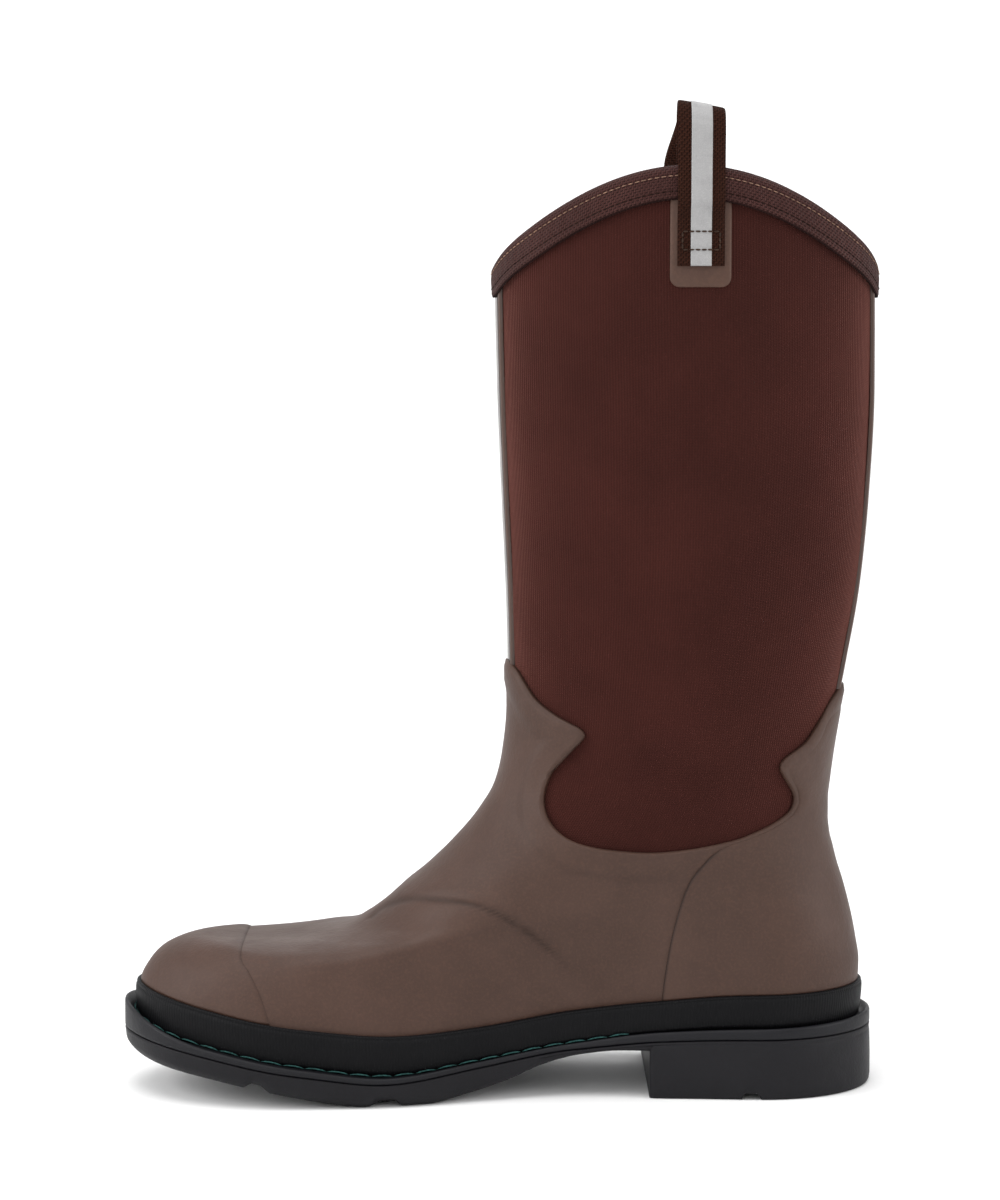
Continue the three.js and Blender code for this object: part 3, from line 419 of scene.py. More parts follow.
class Graph:
    """The node tree of one material."""

    def __init__(self, name):
        self.material = bpy.data.materials.new(name)
        self.material.use_nodes = True
        self.tree = self.material.node_tree
        self.tree.nodes.clear()

    def node(self, kind, settings=None, output=0, **inputs):
        """Any node: settings first, then inputs by name or number; gives one of its outputs."""
        node = self.tree.nodes.new(kind)
        for key, value in (settings or {}).items():
            setattr(node, key, value)
        for key, value in inputs.items():
            key = key.replace("_", " ")
            socket = node.inputs[int(key[1:])] if key[0] == "n" and key[1:].isdigit() else node.inputs[key]
            if isinstance(value, Wire):
                self.tree.links.new(value.socket, socket)
            else:
                socket.default_value = value
        return Wire(self, node.outputs[output])

    def math(self, operation, a, b=0.0):
        return self.node("ShaderNodeMath", {"operation": operation}, n0=a, n1=b)

    def sine(self, value):
        return self.math("SINE", value)

    def step(self, value, low, high, start=0.0, stop=1.0):
        """Smooth step from start to stop while value goes from low to high."""
        return self.node(
            "ShaderNodeMapRange", {"interpolation_type": "SMOOTHSTEP"},
            n0=value, n1=low, n2=high, n3=start, n4=stop,
        )

    def colour(self, share, first, second):
        settings = {"data_type": "RGBA", "blend_type": "MIX", "clamp_factor": True}
        first = first if isinstance(first, Wire) else (*first, 1)
        second = second if isinstance(second, Wire) else (*second, 1)
        return self.node("ShaderNodeMix", settings, 2, n0=share, n6=first, n7=second)

    def place(self):
        return self.node("ShaderNodeTexCoord", output=3)

    def uv(self):
        split = self.node("ShaderNodeUVMap", {"uv_map": "surface"})
        node = self.tree.nodes.new("ShaderNodeSeparateXYZ")
        self.tree.links.new(split.socket, node.inputs[0])
        return Wire(self, node.outputs[0]), Wire(self, node.outputs[1])

    def mask(self, name):
        return self.node("ShaderNodeAttribute", {"attribute_name": name}, 2)

    def noise(self, scale, detail=3.0, roughness=0.55, stretch=(1, 1, 1)):
        place = self.place()
        if stretch != (1, 1, 1):
            place = self.node("ShaderNodeVectorMath", {"operation": "MULTIPLY"}, n0=place, n1=stretch)
        return self.node(
            "ShaderNodeTexNoise", Vector=place, Scale=scale, Detail=detail, Roughness=roughness
        )

    def ribs(self, along, pitch):
        """0 in the valleys and 1 on the ribs of a cord pattern whose ribs lie pitch metres apart."""
        return self.sine(along * (2 * math.pi / pitch)) * 0.5 + 0.5

    def bump(self, height, depth):
        return self.node("ShaderNodeBump", Height=height, Distance=depth, Strength=1.0)

    def surface(self, colour, roughness, bump=None, **settings):
        """Finishes the material: what changes over the surface is linked, uniform values are set."""
        shader = self.tree.nodes.new("ShaderNodeBsdfPrincipled")
        output = self.tree.nodes.new("ShaderNodeOutputMaterial")
        for key, value in {"Base Color": colour, "Roughness": roughness, "Normal": bump}.items():
            if isinstance(value, Wire):
                self.tree.links.new(value.socket, shader.inputs[key])
            elif value is not None:
                shader.inputs[key].default_value = (*value, 1) if key == "Base Color" else value
        for key, value in settings.items():
            key = key.replace("_", " ")
            if isinstance(value, Wire):
                self.tree.links.new(value.socket, shader.inputs[key])
            else:
                shader.inputs[key].default_value = value
        self.tree.links.new(shader.outputs[0], output.inputs[0])
        return self.material


def scaled(colour, factor):
    return tuple(min(1.0, c * factor) for c in colour)


def moulded_rubber(name, colour, dark_lines=True, grain=0.00012, gloss=0.5, ribbing=None, shine=0.3):
    """Moulded rubber: fine satin grain, cloudy bloom and polished high spots; rib crests, where there are
    ribs, are painted lighter as painted highlight, and creases are painted darker from a vertex mask as
    painted shade.
    """
    g = Graph(name)
    cloud = g.noise(26, 4, 0.6)
    speck = g.noise(900, 2, 0.5)
    tone = g.colour(g.step(cloud, 0.32, 0.7), scaled(colour, 0.9), scaled(colour, 1.1))
    tone = g.colour(g.step(speck, 0.4, 0.75) * 0.35, tone, scaled(colour, 1.6))
    scuff = g.step(g.noise(60, 6, 0.75, (1, 1, 3)), 0.6, 0.74)
    tone = g.colour(scuff * 0.22, tone, scaled(colour, 1.9))
    rough = g.step(cloud, 0.3, 0.75, gloss + 0.07, gloss - 0.06) + scuff * 0.08 + speck * 0.06
    height = speck * grain + g.noise(220, 3) * 0.00016 + cloud * 0.0004
    if ribbing:
        u, _ = g.uv()
        rib = g.ribs(u, ribbing)
        height = height + rib * 0.0001
        # Painted highlight: the crests of the ribs are painted lighter.
        tone = g.colour(rib * 0.15, tone, scaled(colour, 1.35))
    # Painted shade: the vertex mask darkens creases, folds and the rims of the covers.
    if dark_lines:
        crease_shade = g.mask("crease_shade")
        tone = g.colour(crease_shade * 0.8, tone, scaled(colour, 0.25))
        rough = rough + crease_shade * 0.2
    return g.surface(tone, rough, g.bump(height, 1.0), Specular_IOR_Level=shine)


def knitted_neoprene(name, colour, pitch):
    """Foam rubber faced with rib knit: vertical ribs of small loops with painted shade in the rib valleys and
    painted highlights on the fuzzy loops, a cloudy tone and soft dents.
    """
    g = Graph(name)
    u, v = g.uv()
    rib = g.ribs(u, pitch)
    loops = g.ribs(v + rib * pitch * 0.25, pitch * 0.9)
    cloud = g.noise(14, 4, 0.6)
    fuzz = g.noise(1500, 2, 0.7)
    tone = g.colour(g.step(cloud, 0.3, 0.72), scaled(colour, 0.8), scaled(colour, 1.22))
    # Painted shade: the rib valleys are painted darker.
    tone = g.colour(0.65 + rib * 0.35, scaled(colour, 0.4), tone)
    # Painted highlight: the fuzzy tops of the loops are painted lighter.
    tone = g.colour(loops * fuzz * 0.3, tone, scaled(colour, 1.8))
    height = rib * 0.00016 + loops * 0.00008 + fuzz * 0.00008 + g.noise(55, 3) * 0.0005
    return g.surface(
        tone, 0.88 + fuzz * 0.1, g.bump(height, 1.0),
        Sheen_Weight=0.32, Sheen_Roughness=0.4, Sheen_Tint=(0.75, 0.3, 0.24, 1), Specular_IOR_Level=0.08,
    )


def woven(name, colour, pitch_u, pitch_v, sheen=0.3, rough=0.8):
    """Plain weave: yarns cross at right angles, each rising over its neighbours in turn; the low yarns are
    painted darker and the raised ones lighter, as painted shade and painted highlight.
    """
    g = Graph(name)
    u, v = g.uv()
    over = g.sine(u * (math.pi / pitch_u)) * g.sine(v * (math.pi / pitch_v))
    warp = g.ribs(u, pitch_u)
    weft = g.ribs(v, pitch_v)
    top = g.step(over, -0.3, 0.3)
    height = warp * top + weft * (1 - top)
    fuzz = g.noise(1300, 3, 0.7)
    cloud = g.noise(45, 3)
    # Painted shade and highlight: the colour follows the yarns' height, dark where low and light where high.
    tone = g.colour(height, scaled(colour, 0.2), scaled(colour, 1.5))
    # Painted highlight: the yarn lying on top is painted lighter.
    tone = g.colour(top * 0.35, tone, scaled(colour, 1.8))
    tone = g.colour(g.step(cloud, 0.3, 0.7) * 0.35, tone, scaled(colour, 0.6))
    tone = g.colour(g.step(fuzz, 0.5, 0.8) * 0.35, tone, scaled(colour, 2.2))
    return g.surface(
        tone, rough + fuzz * 0.12 - top * 0.06, g.bump(height * 0.00035 + fuzz * 0.00008, 1.0),
        Sheen_Weight=sheen, Sheen_Roughness=0.5, Specular_IOR_Level=0.08,
    )


def twisted_thread(name, colour):
    """Waxed thread: two plies twisted round each other, painted darker where the ply relief is low as painted
    shade, with stray lighter fibres.
    """
    g = Graph(name)
    fuzz = g.noise(2200, 2, 0.6)
    ply = g.noise(900, 1, 0.4, (1, 1, 2))
    # Painted shade: the colour follows the ply relief, darker where it is low.
    tone = g.colour(g.step(ply, 0.35, 0.65), scaled(colour, 0.6), scaled(colour, 1.25))
    tone = g.colour(g.step(fuzz, 0.55, 0.8) * 0.4, tone, scaled(colour, 1.8))
    bump = g.bump(ply * 0.0002 + fuzz * 0.00006, 1.0)
    return g.surface(tone, 0.6 + fuzz * 0.2, bump, Specular_IOR_Level=0.1)


def brushed_steel(name):
    g = Graph(name)
    grain = g.noise(90, 4, 0.6, (1, 14, 14))
    stain = g.noise(35, 3)
    tone = g.colour(g.step(stain, 0.35, 0.7), (0.42, 0.43, 0.44), (0.6, 0.6, 0.61))
    return g.surface(tone, g.step(grain, 0.3, 0.7, 0.28, 0.46), g.bump(grain * 0.0001, 1.0), Metallic=1.0)


def pressed_board(name, colour):
    g = Graph(name)
    fibre = g.noise(420, 5, 0.7, (1, 3, 3))
    tone = g.colour(g.step(fibre, 0.3, 0.7), scaled(colour, 0.7), scaled(colour, 1.2))
    return g.surface(tone, 0.82 + fibre * 0.12, g.bump(fibre * 0.0003, 1.0))


def cell_foam(name, colour):
    g = Graph(name)
    cells = g.node("ShaderNodeTexVoronoi", Vector=g.place(), Scale=700)
    # Painted shade on the low borders between the cells and painted highlight on the raised cell middles.
    tone = g.colour(g.step(cells, 0.1, 0.7), scaled(colour, 1.3), scaled(colour, 0.6))
    return g.surface(tone, 0.9 + cells * 0.08, g.bump(cells * -0.0003, 1.0))


def reflective_tape(name, colour):
    """Reflective tape: a dense fabric of glass beads with a faint diamond emboss and rubbed patches."""
    g = Graph(name)
    u, v = g.uv()
    emboss = g.sine((u + v) * (2 * math.pi / 0.0012)) * g.sine((u - v) * (2 * math.pi / 0.0012))
    beads = g.noise(2600, 2, 0.6)
    rub = g.step(g.noise(70, 4, 0.7), 0.45, 0.75)
    tone = g.colour(rub * 0.5, colour, scaled(colour, 0.72))
    tone = g.colour(g.step(beads, 0.45, 0.7) * 0.35, tone, scaled(colour, 1.35))
    return g.surface(
        tone, 0.42 + rub * 0.18, g.bump(emboss * 0.00006 + beads * 0.00008, 1.0), Metallic=0.15
    )


# ---------------------------------------------------------------- what a user may change
def colour_property(name, description, *rgb):
    return bpy.props.FloatVectorProperty(
        name=name, description=description, subtype="COLOR", size=3, min=0, max=1, default=linear(*rgb)
    )


def length_property(name, description, default, low, high):
    return bpy.props.FloatProperty(
        name=name, description=description, unit="LENGTH", subtype="DISTANCE",
        default=default, min=low, max=high, precision=5,
    )


class BootColours(bpy.types.PropertyGroup):
    """Colours of the boot's materials."""

    rubber: colour_property("Brown rubber", "Moulded rubber of the vamp and its covers", 62, 42, 33)
    sole: colour_property("Black rubber", "Outsole and heel", 14, 13, 17)
    foxing: colour_property("Foxing rubber", "Band between the vamp and the welt", 7, 7, 9)
    welt: colour_property("Welt rubber", "Welt strip round the sole", 16, 16, 20)
    neoprene: colour_property("Neoprene", "Knit face of the shaft panels", 53, 25, 21)
    binding: colour_property("Binding", "Woven tape folded over the collar", 60, 36, 33)
    webbing: colour_property("Webbing", "Pull straps", 42, 21, 13)
    stripe: colour_property("Stripe", "Reflective tape on the pull straps", 148, 147, 147)
    lining: colour_property("Lining", "Jersey inside the boot", 38, 33, 33)
    welt_thread: colour_property("Welt thread", "Stitches in the welt", 38, 70, 68)
    thread: colour_property("Thread", "Stitches of the binding and the loops", 128, 100, 84)
    # The rim colour is lighter than the tape: painted reflection along the seam tapes' edges.
    tape_rim: colour_property("Tape rim", "Edge cords of the seam tapes", 70, 46, 34)


class BootSizes(bpy.types.PropertyGroup):
    """Sizes of the boot's surface details."""

    border_width: length_property("Border", "Raised border of the western edge", 0.011, 0.004, 0.02)
    border_rise: length_property("Border rise", "How far the border stands out", 0.0009, 0, 0.003)
    rib_pitch: length_property("Rib pitch", "Distance between the knit ribs", 0.0011, 0.0006, 0.004)
    stitch_pitch: length_property("Binding stitch", "Stitch distance on the collar", 0.0027, 0.0015, 0.006)
    welt_pitch: length_property("Welt stitch", "Distance between stitches on the welt", 0.009, 0.004, 0.015)
    tread_depth: length_property("Tread depth", "Depth of the sole's grooves", 0.0038, 0.001, 0.005)


def colours():
    return bpy.context.scene.boot_colours


def sizes():
    return bpy.context.scene.boot_sizes


def dress(obj, material, body, slot, *nodes):
    """Gives a finished piece its material and its body, and hides the CAD nodes it stands for. slot is not
    used.
    """
    obj.data.materials.append(material)
    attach(obj, body)
    if nodes:
        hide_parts(*nodes)
    return obj


def material(name, maker, *args, **kwargs):
    found = bpy.data.materials.get(name)
    return found or maker(name, *args, **kwargs)


def brown_rubber():
    return material("brown rubber", moulded_rubber, tuple(colours().rubber))


# ---------------------------------------------------------------- the western edge
EDGE_SPANS = [
    [(4.4, 177.5), (8.2, 173.9), (15, 163.8), (22.5, 158), (29.2, 154.5), (33.3, 152.4), (34.9, 149.6)]
    + [(32.4, 146.2), (28, 141.6), (21.5, 132.8), (18.6, 121), (22.6, 111.4), (33.5, 105.3), (57, 102.2)]
    + [(76, 103.2), (95, 106.6), (103.2, 109.2), (111.8, 112.8), (118.4, 117.1), (120.3, 121.4)]
    + [(119.4, 125.6), (116, 131.4), (114.2, 135), (114.6, 138), (117.5, 140.8), (122, 143.6), (126, 147)]
    + [(131.8, 155.4), (136.2, 162.5), (140.9, 167.8)],
]
EDGE_SIDE_VIEW = np.vstack([through(span) for span in EDGE_SPANS])
# Where along the foot the rows that end at a place of the edge start, in "around" at level 8.
EDGE_FEET = [
    ((4.4, 177.5), 0.0), ((34.9, 149.6), 0.12), ((18.6, 121), 0.2), ((33.5, 105.3), 0.31),
    ((57, 102.2), 0.43), ((95, 106.6), 0.64), ((120.3, 121.4), 0.86), ((114.6, 138), 0.925),
    ((140.9, 167.8), 1.0),
]


def western_edge(count):
    """The edge as count even steps: (around, level) pairs and, for each, the start of its row."""
    around, level = locate(*EDGE_SIDE_VIEW.T)
    around[0], around[-1] = 0, 1
    solid = np.column_stack([layer(around, level, np.full_like(level, RUBBER_FACE)), around, level])
    run = lengths(solid[:, :3])
    marks = [run[np.linalg.norm(EDGE_SIDE_VIEW - place, axis=1).argmin()] for place, _ in EDGE_FEET]
    feet = curve(list(zip(marks, [foot for _, foot in EDGE_FEET])))
    at = np.linspace(0, run[-1], count)
    return np.interp(at, run, solid[:, 3]), np.interp(at, run, solid[:, 4]), feet(at)


def both_sides(medial):
    """A medial grid and its lateral twin joined into one ring. Values above 1 mean the lateral side."""
    around, level = medial
    return (
        np.concatenate([around, 2 - around[-2:0:-1]]),
        np.concatenate([level, level[-2:0:-1]]),
    )


def ridge(distance, width):
    """A soft ridge: a bell curve of the distance."""
    return np.exp(-((distance / width) ** 2))


class BOOT_OT_rubber_lower(bpy.types.Operator):
    """Vamp with its western edge, and the toe and heel covers over it."""

    bl_idname = "boot.rubber_lower"
    bl_label = "Rubber lower"

    def execute(self, context):
        self.vamp()
        self.toe_cover()
        self.heel_cover()
        return {"FINISHED"}

    def vamp(self):
        """Rows run from the sole to the western edge: straight up to level 8, then sweeping sideways to
        the edge ever faster. The offset adds the lip, the border's step, the folds and the ridges."""
        columns, straight, swept, turn = 250, 65, 56, 8
        edge_around, edge_level, feet = western_edge(columns)
        low = np.linspace(0.2, turn, straight + 1)[:-1]
        t = np.linspace(0, 1, swept)
        sweep = (edge_around - feet)[:, None] * t**2.4
        around = np.hstack([np.repeat(feet[:, None], straight, 1), feet[:, None] + sweep])
        level = np.hstack([np.repeat(low[None], columns, 0), turn + (edge_level[:, None] - turn) * t])
        base = layer(around, level, np.full_like(level, RUBBER_FACE))
        line = evenly(layer(edge_around, edge_level, np.full(columns, RUBBER_FACE)), 900)
        to_edge = distance_to(base, line)
        border = sizes().border_width * 1000
        rise = sizes().border_rise * 1000
        shown = 1 - ease(base[..., 0], 56, 84) * (1 - ease(base[..., 2], 124, 140))
        offset = RUBBER_FACE + rise * (1 - ease(to_edge, border - 2.8, border + 2.8)) * shown
        offset += 0.12 * ridge(to_edge - 1.2, 1.1)
        offset -= 0.9 * (1 - ease(to_edge, 0, 0.6))
        folds, valley = self.wrinkles(base)
        offset += folds
        # Painted shade: a dark line along the border's step and along the instep fold's valley.
        crease_shade = 0.12 * ridge(to_edge - border, 1.5) * shown + valley
        around, level = both_sides((around, level))
        offset = np.concatenate([offset, offset[-2:0:-1]])
        crease_shade = np.concatenate([crease_shade, crease_shade[-2:0:-1]])
        outer = layer(around, level, offset)
        inner = layer(around, level, np.full_like(level, 0.35))
        obj = shell("rubber_vamp", outer, inner, ring=True, masks={"crease_shade": crease_shade})
        dress(obj, brown_rubber(), BODY, "brown_rubber", "vamp_shell")

    def wrinkles(self, base):
        """Folds where the foot bends and above the heel, as bells around lines seen from the side; the
        instep's fold has a thin valley under its ridge that is painted darker as painted shade. Gives the
        offset and the painted shade."""
        side = base[..., [0, 2]]
        fold = evenly(through([(-57, 73), (-47, 79), (-32, 84), (-7, 83), (14.5, 71.5), (31.5, 56)]), 160)
        groove_points = [(-54, 71), (-47, 75.5), (-32.4, 80.4), (-8, 79.6), (12, 68.5), (28.3, 53.8)]
        groove = evenly(through(groove_points), 160)
        below = evenly(through([(-62, 64), (-46, 69), (-30, 71), (-12, 68), (4, 58), (14, 47)]), 160)
        rear = evenly(through([(136, 160), (134.5, 146), (131, 135), (128.5, 122), (127.5, 108)]), 120)
        heel = evenly(through([(122, 99), (103, 91), (92, 85), (87, 77), (82, 69), (80, 55)]), 160)
        near = (1 - ease(side[..., 0], 14, 34)) * ease(np.abs(base[..., 1]), 2, 12)
        valley = ridge(distance_to(side, groove), 0.9) * near
        total = 0.7 * ridge(distance_to(side, fold), 3.4) - 0.6 * valley
        total -= 0.7 * ridge(distance_to(side, below), 5.5)
        total -= 0.5 * ridge(distance_to(side, rear), 2.2)
        relief = 0.55 * ridge(distance_to(side, heel), 2.4)
        return total + relief, 0.65 * valley

    def toe_cover(self):
        """Rows climb from the foxing; each spans the part of the ring in front of the cover's rear edge,
        so that they shrink to a point on top. The wall thins to nothing over five millimetres."""
        edge = curve([(0, -91.5), (30, -93), (42, -96.5), (52, -102), (56, -105.5), (62, -107)])
        levels = np.linspace(4, 5, 200)
        top = np.interp(edge(59.5), COLUMNS[0](levels), levels)
        rows = top - (top - 1.16) * np.linspace(1, 0.01, 60) ** 1.6
        obj = self.cover("toe_cover", rows, edge, 0.0, 110, 0.35, 5.0)
        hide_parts("toe_cover")

    def heel_cover(self):
        """Rows climb from the foxing to the rear peak; each spans the part of the ring behind the
        cover's front edge and, higher up, behind the western edge."""
        edge = curve(
            [(0, 65), (40, 66.5), (58, 68.6), (73, 71.6), (88.9, 76.7), (97.4, 83), (102.6, 88.5)]
            + [(105.2, 94.5), (107.8, 103.4), (111.5, 112.4), (116.4, 119.8), (121.4, 121.9), (126, 121.2)]
            + [(132, 117.6), (135, 116.1), (137.2, 116.2), (139.6, 118.6), (142.4, 123), (145.6, 127.2)]
            + [(154.6, 133.8), (161, 138.4)]
        )
        rows = np.linspace(1.16, 14.1, 170)
        obj = self.cover("heel_cover", rows, edge, 1.0, 120, 1.0, 1.3)
        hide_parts("heel_cover")

    def cover(self, name, rows, edge, centre, count, rim_shade, taper):
        """The part of the ring beyond edge(z), as rows of (around, level), made into a thin wall; below about
        100 mm its rim is painted darker as painted shade.
        """
        reach = self.reach(rows, edge, centre)
        share = np.sin(np.linspace(-1, 1, count) * math.pi / 2)
        around = centre + share[:, None] * reach[None]
        level = np.repeat(rows[None], count, 0)
        base = layer(around, level, np.full_like(level, 2.6))
        rim = np.vstack([base[0], base[:, -1][1:-1], base[-1][::-1]])
        distance = distance_to(base, evenly(rim, 1200))
        free = 1 - ease(base[..., 2], 100, 105)
        near = np.clip(distance / (taper + 3.5 * (1 - free)), 0, 1)
        wall = 1.05 * (1 - (1 - near) ** 2) ** (0.5 + 0.06 * (taper - 1.3))
        # Painted shade: a dark line along the cover's rim, weaker on the toe cover.
        crease_shade = rim_shade * ridge(distance, 0.75) * free
        outer = layer(around, level, 2.02 + wall)
        inner = layer(around, level, np.full_like(level, 1.9))
        obj = shell(name, outer, inner, masks={"crease_shade": crease_shade})
        return dress(obj, brown_rubber(), BODY, "brown_rubber")

    def reach(self, rows, edge, centre):
        """How far round each level stays beyond the edge, by halving."""
        low, high = np.zeros_like(rows), np.full_like(rows, 0.6)
        sign = 1 if centre else -1
        for _ in range(40):
            middle = (low + high) / 2
            points = upper(centre - middle if centre else middle, rows)
            beyond = sign * (points[:, 0] - edge(points[:, 2])) > 0
            low, high = np.where(beyond, middle, low), np.where(beyond, high, middle)
        return low


# ---------------------------------------------------------------- shaft
def panel_top(around):
    return collar_z(around) - 2.6


def shaft_rows(around, start, count, top):
    """Levels from start up to the height top(around), for each column."""
    end = level_at(top(around))
    return start + (end - start)[:, None] * np.linspace(0, 1, count)


def dents(around, level):
    """Soft unevenness of worn foam: a few slow waves that fade towards the collar."""
    wave = np.sin(around * 9.1 + level * 0.7) * np.sin(level * 1.9 + around * 2.3)
    fade = ease(level, 9, 11) * (1 - ease(level, 17.5, 19.5))
    return 0.45 * wave * fade


class BOOT_OT_neoprene_shaft(bpy.types.Operator):
    """The two knit-faced neoprene panels of the shaft."""

    bl_idname = "boot.neoprene_shaft"
    bl_label = "Neoprene shaft"

    def execute(self, context):
        finish = material("neoprene knit", knitted_neoprene, tuple(colours().neoprene), sizes().rib_pitch)
        columns, rows, seam = 130, 140, 0.003
        for side, start in (("medial", seam), ("lateral", 1 + seam)):
            around = np.linspace(start, start + 0.994, columns)
            level = shaft_rows(around, 9.1, rows, panel_top)
            around = np.repeat(around[:, None], rows, 1)
            outer = layer(around, level, dents(around, level))
            inner = layer(around, level, np.full_like(level, -NEOPRENE_WALL))
            obj = shell(f"neoprene_panel_{side}", outer, inner)
            dress(obj, finish, BODY, "neoprene", f"shaft_panel_{side}")
        return {"FINISHED"}


def sock_inset(x, level):
    """How far the lining moves in to clear the toe cap and the heel stiffener."""
    toe = 1 - ease(x, -65, -17)
    heel = ease(x, 48, 70) * (1 - ease(level, 7, 8.95))
    return toe * 2.6 + heel * 2.0


class BOOT_OT_lining(bpy.types.Operator):
    """Jersey lining of the foot and the shaft."""

    bl_idname = "boot.lining"
    bl_label = "Lining"

    def execute(self, context):
        finish = material("lining jersey", knitted_neoprene, tuple(colours().lining), 0.0011)
        around = np.linspace(0, 2, 200, endpoint=False)
        for name, low, high, count in (("foot_lining", 0.3, 8.95, 70), ("shaft_lining", 9.05, None, 90)):
            if high is None:
                level = shaft_rows(around, low, count, panel_top)
            else:
                level = np.repeat(np.linspace(low, high, count)[None], 200, 0)
            spread_around = np.repeat(around[:, None], count, 1)
            x = upper(spread_around, level)[..., 0]
            inset = sock_inset(x, level) + 4.7
            outer = layer(spread_around, level, -inset)
            inner = layer(spread_around, level, -inset - 0.9)
            obj = shell(f"{name}_jersey", outer, inner, ring=True)
            dress(obj, finish, BODY, "lining", name)
        return {"FINISHED"}


def seam_tape_finish(name, base, rim):
    """Glossy dark rubber tape with a groove along both sides painted black as painted shade, and a dull cord
    outside it whose lighter brown is painted reflection along the tape's edge.
    """
    g = Graph(name)
    cord = g.mask("cord")
    groove = g.mask("groove")
    cloud = g.noise(60, 4, 0.6)
    tone = g.colour(g.step(cloud, 0.3, 0.7), scaled(base, 0.75), scaled(base, 1.25))
    # Painted shade: the groove is painted near black.
    tone = g.colour(groove, tone, (0.006, 0.006, 0.007))
    # Painted reflection: the cord takes the lighter rim colour.
    tone = g.colour(cord, tone, rim)
    rough = g.step(cloud, 0.3, 0.7, 0.26, 0.16) + cord * 0.3 + groove * 0.4
    return g.surface(tone, rough, g.bump(g.noise(500, 3) * 0.00005 + cloud * 0.0002, 1.0))


class BOOT_OT_seam_tapes(bpy.types.Operator):
    """Rubber tapes over the front and back seams of the shaft."""

    bl_idname = "boot.seam_tapes"
    bl_label = "Seam tapes"

    def execute(self, context):
        finish = material(
            "seam tape", seam_tape_finish, scaled(tuple(colours().rubber), 0.8), tuple(colours().tape_rim)
        )
        half = SEAM_TAPE_HALF / (math.pi * 53)
        for name, centre, peak in (("front", 0.0, 14.6), ("back", 1.0, 14.1)):
            across = np.linspace(-1, 1, 61)
            around = centre + across * half
            level = shaft_rows(around, peak, 150, panel_top)
            across = np.repeat(across[:, None], 150, 1)
            around = np.repeat(around[:, None], 150, 1)
            cord = ridge(np.abs(across) - 0.9, 0.075)
            groove = ridge(np.abs(across) - 0.7, 0.07)
            offset = 1.2 + 0.5 * cord - 0.5 * groove + 0.25 * ridge(across, 0.35)
            offset -= 1.0 * ease(np.abs(across), 0.955, 1.0)
            outer = layer(around, level, offset)
            inner = layer(around, level, np.full_like(level, 0.1))
            obj = shell(f"seam_tape_{name}", outer, inner, masks={"cord": cord, "groove": groove})
            dress(obj, finish, BODY, "gloss_tape", f"{name}_seam_tape")
        return {"FINISHED"}


# ---------------------------------------------------------------- collar
def binding_section():
    """Section of the folded tape as (reach, rise) pairs: outer leg, round fold, inner leg, and back."""
    fold = np.linspace(0, math.pi, 15)
    middle, half = -1.6, 4.35
    top = [(middle + half * math.cos(a), -3.2 + 3.2 * math.sin(a)) for a in fold]
    outside = [(2.1, -13.0), (2.55, -12.85), (2.75, -12.3), (2.72, -10.6), (2.64, -10.2), (2.72, -9.8)]
    outside += [(2.8, -8), (2.85, -6), (2.72, -4.6), (2.62, -4.2), (2.74, -3.8)]
    inside = [(-7.05, -5.5), (-7.1, -8), (-7.05, -10.8), (-6.7, -11.0), (-6.0, -10.9)]
    inside += [(-5.9, -8), (-5.9, -4.5)]
    under = [(-5.4, -2.6), (-3, -1.7), (0, -1.7), (1.3, -2.8), (1.5, -5), (1.5, -9), (1.5, -12.8)]
    return np.array(outside + top + inside + under)


